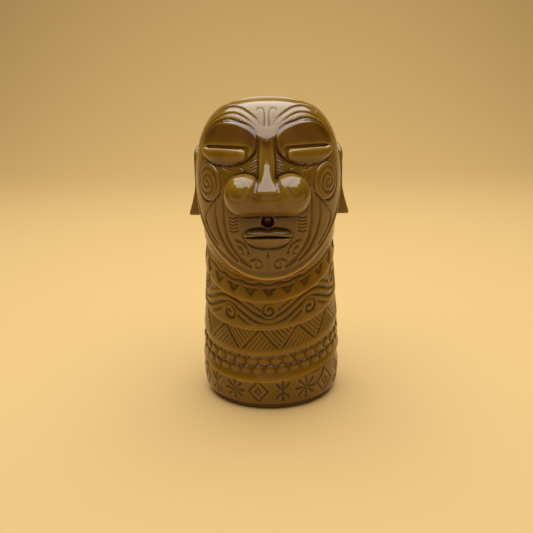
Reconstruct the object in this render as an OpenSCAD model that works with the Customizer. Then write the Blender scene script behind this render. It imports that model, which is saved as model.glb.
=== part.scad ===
// Tiki mug: a carved head on a banded neck, put together from separately moulded clay pieces.
// Millimetres. +Z is up, the face looks along -Y, and the origin is on the axis of the well, at the table.

/* [Foot and floor] */
// How far the foot ring is set back under the bottom collar
foot_in = 1.4; // [1:0.1:3]
// Width of the foot ring's resting face
foot_w = 5; // [3:0.1:7]
// Height of the foot ring
foot_h = 3; // [2:0.1:5]
// Thickness of the floor under the drink
floor_t = 5; // [4:0.1:8]

/* [Collars] */
// Radius of the bottom collar where it meets the foot
base_r = 37.6; // [36:0.1:40]
// Height of the top collar's lower lip on the axis
lip_1_z = 82.6; // [80:0.1:86]
// Height of the second collar's lower lip on the axis
lip_2_z = 58.8; // [55:0.1:62]
// Height of the third collar's lower lip on the axis
lip_3_z = 43.8; // [41:0.1:46]
// Height of the fourth collar's lower lip on the axis
lip_4_z = 25.4; // [23:0.1:27]
// Dip of the top collar's lip towards the front, in degrees
lip_1_tilt = 28; // [26:0.5:30]
// Dip of the second collar's lip towards the front, in degrees
lip_2_tilt = 16; // [14:0.5:18]
// Dip of the third collar's lip towards the front, in degrees
lip_3_tilt = 15; // [13:0.5:17]
// Dip of the fourth collar's lip towards the front, in degrees
lip_4_tilt = 10.5; // [8:0.5:12]
// Sideways lean of the lips, in degrees
lip_roll = 3.5; // [0:0.5:5]
// How far the lowest lip stands out beyond the bottom collar's foot
lip_out = 2.5; // [2:0.1:3]
// How much narrower each lip is than the one below it
lip_in = 0.97; // [0.5:0.01:1.2]
// Height of a lip
lip_h = 3; // [2:0.1:4]
// How far a collar's face lies behind its lip
lip_proud = 1.7; // [1:0.1:2]
// How far the bottom collar bellies out beyond its foot
belly_out = 2.4; // [1.5:0.1:3]
// Height of the bottom collar's widest place
belly_z = 16; // [12:0.5:20]

/* [Pellets] */
// Pellets in each of the two rows
pellet_count = 36; // [24:1:38]
// Radius of the ball that a pellet is pressed from
pellet_r = 3.6; // [3.2:0.1:3.7]
// How far a pellet stands out of the collar
pellet_proud = 1.5; // [0.8:0.1:2]
// Distance of the lower row of pellets above the lip below it
pellet_up = 5.9; // [5:0.1:8]
// Distance between the two rows of pellets
pellet_gap = 5.7; // [5.6:0.1:6]

/* [Well] */
// Thickness of the bottom collar's wall at its foot
wall = 3.6; // [3:0.1:6]
// How much narrower the well is at the throat
throat_in = 2.8; // [2:0.1:5]
// Height of the narrowest place
throat_z = 80; // [70:1:90]
// Height up to which the well keeps its lower radius
well_z = 40; // [30:1:60]

/* [Head] */
// Half width of the face
face_r = 40.3; // [39:0.1:42]
// How far the face is set in front of the axis
face_forward = 4; // [3:0.1:5]
// Height of the widest place of the head
brow_z = 118; // [112:1:122]
// Height of the face from there up to the crown
crown_h = 50; // [48:0.5:53]
// Reach of the face's lower taper, below its widest place
jaw_h = 110; // [100:1:130]
// How square the crown is: 2 is a half ellipse
crown_power = 2.7; // [2.5:0.1:2.9]
// Height of the chin's lower edge
chin_z = 73; // [71:0.5:76]
// Slope of the jaw line from the chin up to the temples, in degrees
jaw_tilt = 55.5; // [53:0.5:57]
// Slope of the seam between the head and the top collar, in degrees
seam_tilt = 29; // [27:0.5:31]
// How far the face stands out round the skull behind it
face_proud = 2.1; // [1.5:0.1:2.5]
// Thickness of the skull's wall
skull_wall = 4.8; // [4:0.1:5.5]

/* [Mouth of the mug] */
// Slope of the rim, down towards the back, in degrees
rim_tilt = 24; // [22:0.5:27]
// Place of the rim's centre behind the axis
rim_y = 11; // [10:0.5:12]
// Height of the rim's centre below the crown
rim_drop = 10.9; // [10.5:0.1:13]
// Inner radius of the rim
rim_r = 24; // [20:0.1:25]
// Width of the rim
rim_w = 4.2; // [4:0.1:6]
// Height of the rim's flat side, under its round top
rim_side_h = 0.5; // [0.3:0.1:2]

/* [Nose] */
// Width over the nostrils
nose_w = 44.2; // [40:0.1:46]
// Radius of the nostrils
nostril_r = 10.6; // [9:0.1:11.5]
// Radius of the nose's tip
nose_tip_r = 11.4; // [10:0.1:12]
// Height of the nose's tip below the crown
nose_drop = 43.4; // [42:0.1:45]
// Width of the bridge
bridge_w = 8.4; // [7:0.1:10]
// Height of the bridge's upper end below the crown
bridge_drop = 17; // [16:0.5:19]
// How far the bridge stands out of the face at its upper end
brow_proud = 0.5; // [0.3:0.1:1]
// How far the bridge stands out of the face at its bend
bridge_proud = 2.4; // [1:0.1:3]
// Height of the bridge's bend above the nose's tip
bend_up = 15; // [13:0.5:17]
// Radius of the pit under the nose
pit_r = 3.2; // [2:0.1:3.5]
// Height of the pit below the nose's tip
pit_drop = 15.6; // [15.2:0.1:15.8]
// Depth of the pit
pit_depth = 3.5; // [2:0.1:4]

/* [Eyes] */
// Half width of the ball that the upper eyelid is cut from
lid_half_w = 18.9; // [17:0.1:20]
// Half height of that ball
lid_half_h = 15; // [14:0.1:16]
// Half depth of that ball
lid_half_d = 13; // [12:0.1:14]
// How far that ball stands out of the face at its middle
lid_proud = 1.5; // [1:0.1:2]
// Height of that ball's middle below the crown
lid_drop = 24; // [23:0.1:25]
// Half width of the egg that the lower eyelid is cut from
lower_half_w = 16.4; // [15:0.1:17]
// Half height of that egg
lower_half_h = 8.4; // [8:0.1:9]
// How far the lower eyelid stands out of the face
lower_proud = 2.2; // [1.5:0.1:3]
// How deep the lower eyelid's middle is sunk into the face
lower_sink = 2; // [1.5:0.1:3]
// Direction of the eyes, round from the front, in degrees
eye_turn = 35.5; // [34:0.5:38]
// Height of the slit between the eyelids below the crown
slit_drop = 22; // [21:0.1:24]
// Width of the slit
slit_w = 1.2; // [0.8:0.1:2]

/* [Lips] */
// Half width of the mouth
lip_half_w = 13.1; // [11:0.1:15]
// Height of the line between the lips below the nose's tip
mouth_drop = 23.8; // [23:0.1:25]
// Height of the upper lip
upper_lip_h = 5; // [4:0.1:5.4]
// Height of the lower lip
lower_lip_h = 6.6; // [5:0.1:8]
// How far the lips stand out of the face
lips_proud = 3.6; // [3:0.1:5]
// How deep the lips' middle is sunk into the face
lips_sink = 1.4; // [1:0.1:2]
// Gap between the lips
lips_gap = 1; // [0.6:0.1:1.6]

/* [Cheeks and ears] */
// Radius of the cheek discs
cheek_r = 10.3; // [8:0.1:11]
// How far the cheek discs stand out of the face
cheek_proud = 0.8; // [0.6:0.1:1.6]
// Direction of the cheek discs, round from the front, in degrees
cheek_turn = 52; // [48:0.5:56]
// Height of the cheek discs' centre below the crown
cheek_drop = 40.6; // [38:0.1:42]
// Height of the ear's upper end below the crown
ear_drop = 23.6; // [20:0.1:26]
// Height of the ear lobe's lower end
lobe_z = 103.6; // [102:0.1:108]
// Place of the ear's front edge behind the axis
ear_y = -2; // [-4:0.5:0]
// Radius of the ear's upper round
ear_r = 9; // [8:0.1:10]
// Width of the lobe
lobe_w = 11; // [8:0.5:13]
// How far the upright part of the ear reaches out from the axis
ear_reach = 41.6; // [41:0.1:43]
// Length of the flared lobe
flare_h = 17; // [14:0.5:20]
// How far the lobe reaches out from the axis
lobe_reach = 45.8; // [44:0.1:47]
// Radius of the ear's bowl
bowl_r = 5; // [3:0.1:6]
// Depth of the ear's bowl
bowl_depth = 1.6; // [1:0.1:2]

/* [Hidden] */
$fn = 96;

glaze = "#7a5a14";
glaze_light = "#8a6a22";
bare_clay = "#c9a46a";

// Larger than the mug, for blocks that cut everything on one side of a plane.
beyond = 150;
// A height below the chin, from which the turned heads start.
under_chin_z = chin_z - floor_t;
// Points along each curved stretch of a turned outline.
curve_steps = 12;
// Half the stretch over which the face's lean is measured.
lean_reach = lips_sink;

foot_r = base_r - foot_in;
belly_r = base_r + belly_out;
lip_z = [lip_1_z, lip_2_z, lip_3_z, lip_4_z];
lip_tilt = [lip_1_tilt, lip_2_tilt, lip_3_tilt, lip_4_tilt];
lip_r = [for (i = [0:3]) base_r + lip_out - lip_in * (3 - i)];
well_r = base_r - wall;
throat_r = well_r - throat_in;
floor_z = foot_h + floor_t;
crown_z = brow_z + crown_h;
rim_z = crown_z - rim_drop;
nose_z = crown_z - nose_drop;
bend_z = nose_z + bend_up;
pit_z = nose_z - pit_drop;
mouth_z = nose_z - mouth_drop;
bridge_top_z = crown_z - bridge_drop;
lid_z = crown_z - lid_drop;
slit_z = crown_z - slit_drop;
cheek_z = crown_z - cheek_drop;
ear_top_z = crown_z - ear_drop;
skull_r = face_r - face_proud;
skull_crown_h = crown_h - face_proud;
well_head_r = skull_r - skull_wall;
well_crown_h = skull_crown_h - skull_wall;
// The chin's front edge, where the jaw line and the neck seam both start.
chin_y = -face_forward - face_radius(chin_z);
seam_z = chin_z - chin_y * tan(seam_tilt);
jaw_z = chin_z - chin_y * tan(jaw_tilt);
rim_mid_r = rim_r + rim_w / 2;
// Depth of the round mouth below the rim, down into the well.
mouth_deep = rim_r + rim_w;

// Radius of the face at a height: a square-shouldered crown above the widest place, a slow taper below.
function oval(r, up, down, z) =
    z > brow_z ? r * pow(1 - pow((z - brow_z) / up, crown_power), 1 / crown_power)
               : r * sqrt(1 - pow((brow_z - z) / down, 2));
function face_radius(z) = oval(face_r, crown_h, jaw_h, z);
// Backward lean of the face at a height, in degrees.
function face_lean(z) = atan((face_radius(z - lean_reach) - face_radius(z + lean_reach)) / (2 * lean_reach));

// Outline of a turned head as points of its half section: the taper up from a height to the widest place,
// and the crown above it.
function taper_points(r, from_z) =
    [for (i = [0:3]) let (z = from_z + (brow_z - from_z) * i / 4) [oval(r, crown_h, jaw_h, z), z]];
function crown_points(r, up) =
    [for (i = [0:curve_steps])
        let (a = 90 * i / curve_steps)
        [r * pow(cos(a), 2 / crown_power), brow_z + up * pow(sin(a), 2 / crown_power)]];

// A block that fills everything above a plane through a height on the axis, tilted and rolled.
module above(z, tilt, roll = 0) {
    slope = [tan(roll), tan(tilt)];
    normal = [-slope[0], -slope[1], 1];
    translate([0, 0, z])
        rotate(a = acos(1 / norm(normal)), v = [slope[1], -slope[0], 0])
            translate([-beyond, -beyond, 0])
                cube(2 * beyond);
}

// An upright round column of which only a slice is kept, between a slanted plane and one above it.
module slice(r, z, tilt, roll, h) {
    difference() {
        intersection() {
            cylinder(r = r, h = beyond);
            above(z, tilt, roll);
        }
        above(z + h, tilt, roll);
    }
}

// The hollow for the drink, from the floor up into the crown.
module well() {
    rotate_extrude()
        polygon(concat(
            [[0, floor_z], [well_r, floor_z], [well_r, well_z], [throat_r, throat_z]],
            crown_points(well_head_r, well_crown_h)));
}

// Everything above the rim's plane, and the round mouth below it.
module mouth_cut() {
    above(rim_z + rim_y * tan(rim_tilt), -rim_tilt);
    translate([0, rim_y, rim_z])
        rotate([-rim_tilt, 0, 0])
            translate([0, 0, -mouth_deep])
                cylinder(r = rim_r, h = mouth_deep + rim_w);
}

// A whole turned head, from below the chin up to the crown.
module head_form(r, up) {
    rotate_extrude()
        polygon(concat([[0, under_chin_z]], taper_points(r, under_chin_z), crown_points(r, up)));
}

module face_form(grow = 0) {
    translate([0, -face_forward, 0])
        head_form(face_r + grow, crown_h + grow);
}

module skull_form() {
    head_form(skull_r, skull_crown_h);
}

// Cuts what lies above the next seam up: the lip of the collar above, or the seam under the head.
module above_collar(i) {
    if (i == 0)
        above(seam_z, seam_tilt);
    else
        above(lip_z[i - 1], lip_tilt[i - 1], lip_roll);
}

module collar(i) {
    color(glaze)
        difference() {
            union() {
                slice(lip_r[i] - lip_proud, lip_z[i], lip_tilt[i], lip_roll, beyond / 3);
                slice(lip_r[i], lip_z[i], lip_tilt[i], lip_roll, lip_h);
            }
            above_collar(i);
            well();
        }
}

// The bottom collar bellies out and draws in again to the foot.
module base_collar() {
    top_z = lip_z[3] + lip_r[3];
    top_r = lip_r[3] - lip_proud;
    color(glaze)
        difference() {
            rotate_extrude()
                polygon(concat(
                    [[0, foot_h]],
                    [for (i = [0:curve_steps])
                        let (a = 90 * i / curve_steps)
                        [base_r + (belly_r - base_r) * sin(a), belly_z - (belly_z - foot_h) * cos(a)]],
                    [for (i = [1:curve_steps])
                        let (t = i / curve_steps)
                        [top_r + (belly_r - top_r) * (1 + cos(180 * t)) / 2,
                         belly_z + (lip_z[3] - belly_z) * t]],
                    [[top_r, top_z], [0, top_z]]));
            above_collar(4);
            well();
            translate([0, 0, foot_h])
                cylinder(r = well_r, h = floor_t);
        }
}

module foot_ring() {
    color(bare_clay)
        rotate_extrude()
            translate([foot_r - foot_w, 0])
                square([foot_w, foot_h]);
}

module floor_disc() {
    color(bare_clay)
        translate([0, 0, foot_h])
            cylinder(r = well_r, h = floor_t);
}

// A clay pellet pressed on the fourth collar, at an angle round it and a distance above its lip.
module pellet(angle, up) {
    face = lip_r[3] - lip_proud;
    lean = face * (cos(angle) * tan(lip_roll) + sin(angle) * tan(lip_tilt[3]));
    difference() {
        rotate([0, 0, angle])
            translate([face + pellet_proud - pellet_r, 0, lip_z[3] + up + lean])
                sphere(r = pellet_r, $fn = 64);
        cylinder(r = face, h = beyond, $fn = 360);
    }
}

// Two staggered rows of pellets.
module pellets() {
    color(glaze_light)
        for (row = [0, 1], i = [0:pellet_count - 1])
            pellet(360 * (i + row / 2) / pellet_count, pellet_up + row * pellet_gap);
}

module skull_shell() {
    color(glaze)
        difference() {
            intersection() {
                skull_form();
                above(seam_z, seam_tilt);
            }
            above(jaw_z, jaw_tilt);
            well();
            mouth_cut();
        }
}

module face_shell() {
    color(glaze)
        difference() {
            intersection() {
                face_form();
                above(jaw_z, jaw_tilt);
            }
            well();
            mouth_cut();
            translate([0, -face_forward - face_radius(pit_z) + pit_depth, pit_z])
                rotate([90, 0, 0])
                    cylinder(r = pit_r, h = 2 * pit_depth);
        }
}

module mouth_rim() {
    color(glaze_light)
        translate([0, rim_y, rim_z])
            rotate([-rim_tilt, 0, 0])
                rotate_extrude() {
                    translate([rim_r, 0])
                        square([rim_w, rim_side_h]);
                    intersection() {
                        translate([rim_mid_r, rim_side_h])
                            circle(d = rim_w);
                        translate([rim_r, 0])
                            square(2 * rim_w);
                    }
                }
}

// A ball, or a rod with round ends, between two points.
module rod(from, to, r) {
    along = to - from;
    translate(from) {
        sphere(r = r);
        rotate([0, acos(along[2] / norm(along)), atan2(along[1], along[0])])
            cylinder(r = r, h = norm(along));
    }
    translate(to)
        sphere(r = r);
}

// The flat-fronted bridge runs straight down the brow, then ramps out to the nose's tip.
module bridge() {
    tip_y = -face_forward - face_radius(nose_z);
    rotate([90, 0, 90])
        linear_extrude(bridge_w, center = true)
            polygon([[-face_forward - face_radius(bridge_top_z) - brow_proud, bridge_top_z],
                     [-face_forward - face_radius(bend_z) - bridge_proud, bend_z],
                     [tip_y - nostril_r, nose_z + nose_tip_r / 4],
                     [tip_y, nose_z],
                     [-face_forward, nose_z],
                     [-face_forward, bridge_top_z]]);
}

module nose() {
    tip_y = -face_forward - face_radius(nose_z);
    nostril_x = nose_w / 2 - nostril_r;
    color(glaze_light)
        difference() {
            union() {
                rod([-nostril_x, tip_y, nose_z], [nostril_x, tip_y, nose_z], nostril_r);
                translate([0, tip_y, nose_z])
                    sphere(r = nose_tip_r);
                bridge();
            }
            face_form();
        }
}

// An egg sunk into the face at a height, turned round from the front and leant back.
module egg_on_face(turn, z, lean, half_w, half_h, proud, sink) {
    translate([0, -face_forward, z])
        rotate([0, 0, turn])
            translate([0, -face_radius(z), 0])
                rotate([-lean, 0, 0])
                    translate([0, sink, 0])
                        scale([half_w, proud + sink, half_h])
                            sphere(r = 1);
}

module upper_eyelid(side) {
    color(glaze_light)
        difference() {
            intersection() {
                egg_on_face(side * eye_turn, lid_z, 0, lid_half_w, lid_half_h,
                            lid_proud, lid_half_d - lid_proud);
                above(slit_z + slit_w / 2, 0);
            }
            face_form();
        }
}

module lower_eyelid(side) {
    color(glaze_light)
        difference() {
            egg_on_face(side * eye_turn, slit_z, face_lean(slit_z), lower_half_w, lower_half_h,
                        lower_proud, lower_sink);
            above(slit_z - slit_w / 2, 0);
            face_form();
        }
}

module upper_lip() {
    color(glaze_light)
        difference() {
            intersection() {
                egg_on_face(0, mouth_z, face_lean(mouth_z), lip_half_w, upper_lip_h, lips_proud, lips_sink);
                above(mouth_z + lips_gap / 2, 0);
            }
            face_form();
        }
}

module lower_lip() {
    color(glaze_light)
        difference() {
            egg_on_face(0, mouth_z, face_lean(mouth_z), lip_half_w, lower_lip_h, lips_proud, lips_sink);
            above(mouth_z - lips_gap / 2, 0);
            face_form();
        }
}

module cheek_disc(side) {
    color(glaze_light)
        difference() {
            intersection() {
                face_form(cheek_proud);
                translate([0, -face_forward, cheek_z])
                    rotate([90, 0, side * cheek_turn])
                        cylinder(r = cheek_r, h = face_r + 2 * cheek_proud);
            }
            face_form();
        }
}

// Side view of an ear, front edge to the left.
module ear_side() {
    translate([ear_y + ear_r, ear_top_z - ear_r])
        circle(r = ear_r);
    polygon([[ear_y, ear_top_z - ear_r], [ear_y, lobe_z], [ear_y + lobe_w, lobe_z],
             [ear_y + 2 * ear_r, ear_top_z - ear_r]]);
}

// Front view of the right ear: upright above, flared out below, bevelled at its top.
module ear_front() {
    bevel = ear_reach - skull_r;
    polygon([[skull_r, ear_top_z], [ear_reach, ear_top_z - bevel], [ear_reach, lobe_z + flare_h],
             [lobe_reach, lobe_z + bevel], [lobe_reach, lobe_z], [skull_r / 2, lobe_z],
             [skull_r / 2, ear_top_z]]);
}

// An ear grows out of the skull and flares down to a square lobe, with a shallow bowl in its outer face.
module ear(side) {
    color(glaze)
        mirror([side < 0 ? 1 : 0, 0, 0])
            difference() {
                intersection() {
                    rotate([90, 0, 90])
                        linear_extrude(lobe_reach)
                            ear_side();
                    rotate([90, 0, 0])
                        linear_extrude(beyond, center = true)
                            ear_front();
                }
                translate([ear_reach - bowl_depth, ear_y + ear_r, ear_top_z - ear_r - bowl_r / 2])
                    rotate([0, 90, 0])
                        cylinder(r = bowl_r, h = 2 * bowl_depth);
                skull_form();
                intersection() {
                    face_form();
                    above(jaw_z, jaw_tilt);
                }
            }
}

foot_ring();
floor_disc();
collar(0);  // collar_1
collar(1);  // collar_2
collar(2);  // collar_3
collar(3);  // collar_4
base_collar();  // collar_5
pellets();
skull_shell();
face_shell();
mouth_rim();
nose();
upper_lip();
lower_lip();
upper_eyelid(-1);  // upper_eyelid_left
upper_eyelid(1);  // upper_eyelid_right
lower_eyelid(-1);  // lower_eyelid_left
lower_eyelid(1);  // lower_eyelid_right
cheek_disc(-1);  // cheek_disc_left
cheek_disc(1);  // cheek_disc_right
ear(-1);  // ear_left
ear(1);  // ear_right
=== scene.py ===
import logging
import math
from collections.abc import Callable
from dataclasses import dataclass, field
from enum import Enum
from functools import partial

import bpy
import mathutils
import numpy as np
from bpy.types import Material, Mesh, Node, NodeSocket, NodeTree, Object
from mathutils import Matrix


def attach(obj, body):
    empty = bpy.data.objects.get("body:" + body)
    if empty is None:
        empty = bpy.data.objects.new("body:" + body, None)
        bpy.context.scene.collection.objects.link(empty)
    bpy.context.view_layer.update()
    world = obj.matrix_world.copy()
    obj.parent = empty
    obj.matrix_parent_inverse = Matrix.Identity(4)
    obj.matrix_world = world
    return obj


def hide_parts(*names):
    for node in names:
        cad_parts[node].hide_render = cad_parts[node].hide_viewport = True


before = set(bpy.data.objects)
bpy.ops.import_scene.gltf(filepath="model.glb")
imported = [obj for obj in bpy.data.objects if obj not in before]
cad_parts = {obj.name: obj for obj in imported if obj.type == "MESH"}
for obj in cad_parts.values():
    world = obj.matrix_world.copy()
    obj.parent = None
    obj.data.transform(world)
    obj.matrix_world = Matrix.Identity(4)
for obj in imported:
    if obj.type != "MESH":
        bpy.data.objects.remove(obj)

Array = np.ndarray
Distance = Callable[[Array], Array]

LOG = logging.getLogger("mug")
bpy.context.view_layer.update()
# All shapes are worked out in millimetres and become metres when a mesh is made.
MM = 0.001
BODY = "root"
SEED = 11


class Slot(Enum):
    """Material slots of the record."""

    GLAZE = "glaze"
    GLAZE_THIN = "glaze_thin"
    BARE_CLAY = "bare_clay"


class Side(Enum):
    """Sides of the face, as seen by someone in front of it."""

    LEFT = -1
    RIGHT = 1


def cos_sin(degrees: float) -> tuple[float, float]:
    """Cosine and sine of an angle in degrees."""
    return math.cos(math.radians(degrees)), math.sin(math.radians(degrees))


def rise(value: Array, width: float) -> Array:
    """Share from 0 to 1 that values have risen over a width."""
    return np.clip(value / width, 0.0, 1.0)


def bell(distance: Array, reach: float) -> Array:
    """Share that falls from 1 on a line towards 0 away from it."""
    return np.exp(-((distance / reach) ** 2))


def from_nearest(value: Array, pitch: float) -> Array:
    """How far values lie past the nearest multiple of a pitch."""
    return (value / pitch - np.round(value / pitch)) * pitch


def smooth_max(a: Array, b: Array, blend: float) -> Array:
    """Larger of two distances, with the edge between them rounded.

    Args:
        a: First distances in mm.
        b: Second distances in mm.
        blend: Reach of the rounding in mm.

    Returns:
        Blended distances.
    """
    share = np.clip(0.5 + 0.5 * (a - b) / blend, 0.0, 1.0)
    return b + (a - b) * share + blend * share * (1.0 - share)


def smooth_min(a: Array, b: Array, blend: float) -> Array:
    """Smaller of two distances, with the valley between them filled over a reach in mm."""
    return -smooth_max(-a, -b, blend)


def groove(distance: Array, half_width: float, depth: float) -> Array:
    """Depth of a round-bottomed groove at a distance from its middle line.

    Args:
        distance: Distances from the line in mm.
        half_width: Half the groove's width in mm, where a fifth of its depth is left.
        depth: Depth in its middle in mm.

    Returns:
        Depths in mm.
    """
    fall = 1.6
    return depth * np.exp(-((distance / half_width) ** 2) * fall)


def spiral_groove(u: Array, v: Array, pitch: float, reach: float, half_width: float, depth: float) -> Array:
    """Depth of a groove that winds out from a centre, turn by turn.

    Args:
        u: Sideways places from the centre in mm.
        v: Upward places from the centre in mm.
        pitch: Distance between turns in mm.
        reach: Radius of the last turn in mm.
        half_width: Half the groove's width in mm.
        depth: Depth in mm.

    Returns:
        Depths in mm.
    """
    radius = np.hypot(u, v)
    turn = radius / pitch - np.arctan2(v, u) / (2 * math.pi)
    off_line = np.abs(turn - np.round(turn)) * pitch
    return groove(off_line, half_width, depth) * rise(reach - radius, half_width)


@dataclass(frozen=True)
class Plane:
    """A slanted plane: its height on the axis, and its slopes towards the back and the right.

    Attributes:
        height: Height on the axis in mm.
        tilt: Rise towards the back in degrees.
        roll: Rise towards the right in degrees.
    """

    height: float
    tilt: float
    roll: float = 0.0

    @classmethod
    def through(cls, y: float, z: float, tilt: float) -> "Plane":
        """A plane with a tilt in degrees, through a place in the mug's middle section in mm."""
        return cls(z - y * math.tan(math.radians(tilt)), tilt)

    @property
    def slope(self) -> tuple[float, float]:
        """Rise per millimetre towards the right and towards the back."""
        return math.tan(math.radians(self.roll)), math.tan(math.radians(self.tilt))

    def level(self, x: Array, y: Array) -> Array:
        """Height of the plane over places on the table.

        Args:
            x: Sideways places in mm.
            y: Places towards the back in mm.

        Returns:
            Heights in mm.
        """
        right, back = self.slope
        return self.height + back * y + right * x

    def above(self, p: Array) -> Array:
        """Distance of points above the plane in mm, negative below it."""
        return (p[:, 2] - self.level(p[:, 0], p[:, 1])) / math.hypot(1.0, *self.slope)


@dataclass(frozen=True)
class Egg:
    """An ellipsoid turned about the upright axis and leant back.

    Attributes:
        centre: Middle in mm.
        half: Half sizes sideways, along its normal and upwards in mm.
        turn: Turn about the upright axis in degrees.
        lean: Backward lean in degrees.
        power: How square it is: 2 is an ellipsoid.
    """

    centre: tuple[float, float, float]
    half: tuple[float, float, float]
    turn: float = 0.0
    lean: float = 0.0
    power: float = 2.0

    def local(self, p: Array) -> Array:
        """Points seen from the egg: sideways, along its inward normal, and upwards.

        Args:
            p: Points in mm.

        Returns:
            Points in the egg's own axes.
        """
        q = p - np.array(self.centre)
        c, s = cos_sin(self.turn)
        x = c * q[:, 0] + s * q[:, 1]
        y = -s * q[:, 0] + c * q[:, 1]
        c, s = cos_sin(self.lean)
        return np.stack([x, c * y - s * q[:, 2], s * y + c * q[:, 2]], axis=1)

    def distance(self, p: Array) -> Array:
        """Distance of points outside the egg.

        Args:
            p: Points in mm.

        Returns:
            Distances in mm, exact near the surface.
        """
        half = np.array(self.half)
        q = np.abs(self.local(p)) / half
        near = np.maximum(np.sum(q**self.power, axis=1) ** (1.0 / self.power), 1e-6)
        slope = np.linalg.norm((q / near[:, None]) ** (self.power - 1.0) / half, axis=1)
        return (near - 1.0) / np.maximum(slope, 1e-6)


@dataclass
class Head:
    """Turned forms of the head and the well, with the planes that cut them, in mm and degrees.

    Attributes:
        face_r, face_forward: Half width of the face, and how far it is set in front of the axis.
        brow_z, crown_h, jaw_h: Height of the widest place, and reach of the crown and the jaw from it.
        crown_power: How square the crown is.
        face_proud, skull_wall: How far the face stands out round the skull, and the skull's wall.
        chin_z, jaw_tilt, seam_tilt: Height of the chin's edge, and slopes of the jaw line and neck seam.
        rim_centre, rim_tilt: Middle and slope of the mouth's rim.
        rim_r, rim_w, rim_side_h: Inner radius and width of the rim, and height of its widest place.
        throat_h: Depth of the round mouth below the rim.
        well_points: Radius and height along the well's wall, from the floor up.
        jaw, seam, rim: Planes of the jaw line, the neck seam and the rim.
    """

    face_r: float = 40.2
    face_forward: float = 4.0
    brow_z: float = 118.0
    crown_h: float = 51.9
    jaw_h: float = 110.0
    crown_power: float = 2.85
    face_proud: float = 2.1
    skull_wall: float = 4.8
    chin_z: float = 73.0
    jaw_tilt: float = 55.5
    seam_tilt: float = 29.0
    rim_centre: tuple[float, float, float] = (0.0, 11.0, 157.1)
    rim_tilt: float = 24.0
    rim_r: float = 24.0
    rim_w: float = 4.1
    rim_side_h: float = 0.5
    throat_h: float = 30.0
    well_points: tuple[tuple[float, float], ...] = ((34.0, 8.0), (34.0, 40.0), (31.2, 80.0))
    jaw: Plane = field(init=False)
    seam: Plane = field(init=False)
    rim: Plane = field(init=False)

    def __post_init__(self) -> None:
        """Sets the planes of the jaw line, the neck seam and the rim."""
        chin_y = self.front(self.chin_z)
        self.jaw = Plane.through(chin_y, self.chin_z, self.jaw_tilt)
        self.seam = Plane.through(chin_y, self.chin_z, self.seam_tilt)
        self.rim = Plane.through(*self.rim_centre[1:], -self.rim_tilt)

    def radius(self, z: Array) -> Array:
        """Radius of the face at heights.

        Args:
            z: Heights in mm.

        Returns:
            Radii in mm.
        """
        up, down = rise(z - self.brow_z, self.crown_h), rise(self.brow_z - z, self.jaw_h)
        crown = (1.0 - up**self.crown_power) ** (1.0 / self.crown_power)
        return self.face_r * np.where(z > self.brow_z, crown, np.sqrt(1.0 - down**2))

    def radius_at(self, z: float) -> float:
        """Radius of the face at one height, in mm."""
        return float(self.radius(np.array([z]))[0])

    def front(self, z: float) -> float:
        """Place of the middle of the face's front at a height, in mm."""
        return -self.face_forward - self.radius_at(z)

    def lean(self, z: float) -> float:
        """Backward lean of the face at a height, in degrees."""
        low, high = self.radius(np.array([z - 1.0, z + 1.0]))
        return math.degrees(math.atan((low - high) / 2.0))

    def oval(self, p: Array, y: float, inset: float) -> Array:
        """Distance of points outside a turned head.

        Args:
            p: Points in mm.
            y: Place of its axis in mm.
            inset: How far it lies inside the face's form in mm.

        Returns:
            Distances in mm, exact near the surface.
        """
        upper = p[:, 2] > self.brow_z
        power = np.where(upper, self.crown_power, 2.0)
        r, tall = self.face_r - inset, np.where(upper, self.crown_h - inset, self.jaw_h)
        u = np.maximum(np.hypot(p[:, 0], p[:, 1] - y) / r, 1e-4)
        w = np.maximum(np.abs(p[:, 2] - self.brow_z) / tall, 1e-6)
        size = (u**power + w**power) ** (1.0 / power)
        slope = np.hypot((u / size) ** (power - 1) / r, (w / size) ** (power - 1) / tall)
        return (size - 1.0) / np.maximum(slope, 1e-4)

    def face(self, p: Array) -> Array:
        """Distance of points outside the face's form, in mm."""
        return self.oval(p, -self.face_forward, 0.0)

    def skull(self, p: Array) -> Array:
        """Distance of points outside the skull's form, in mm."""
        return self.oval(p, 0.0, self.face_proud)

    def well_radius(self, z: Array) -> Array:
        """Radius of the well at heights up to the widest place of the head.

        Args:
            z: Heights in mm.

        Returns:
            Radii in mm.
        """
        top = (self.face_r - self.face_proud - self.skull_wall, self.brow_z)
        radii, heights = zip(*self.well_points, top)
        return np.interp(z, heights, radii)

    def well(self, p: Array) -> Array:
        """Distance of points outside the well.

        Args:
            p: Points in mm.

        Returns:
            Distances in mm.
        """
        crown = self.oval(p, 0.0, self.face_proud + self.skull_wall)
        neck = np.hypot(p[:, 0], p[:, 1]) - self.well_radius(p[:, 2])
        inside = np.where(p[:, 2] > self.brow_z, crown, neck)
        return np.maximum(inside, self.well_points[0][1] - p[:, 2])

    def from_rim(self, p: Array) -> tuple[Array, Array]:
        """Distance of points from the rim's own axis, and their height over its plane.

        Args:
            p: Points in mm.

        Returns:
            Distances and heights in mm.
        """
        q = p - np.array(self.rim_centre)
        c, s = cos_sin(self.rim_tilt)
        return np.hypot(q[:, 0], c * q[:, 1] - s * q[:, 2]), s * q[:, 1] + c * q[:, 2]

    def throat(self, p: Array) -> Array:
        """Distance of points outside the round mouth, in mm."""
        across, up = self.from_rim(p)
        return np.maximum(across - self.rim_r, -up - self.throat_h)

    def bead(self, p: Array) -> Array:
        """Distance of points outside the rolled rim, in mm."""
        across, up = self.from_rim(p)
        return np.hypot(across - self.rim_r - self.rim_w / 2, up - self.rim_side_h) - self.rim_w / 2

    def hollow(self, p: Array) -> Array:
        """Distance of points outside the well and its mouth together, in mm."""
        return smooth_min(self.well(p), self.throat(p), 2.0)

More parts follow.
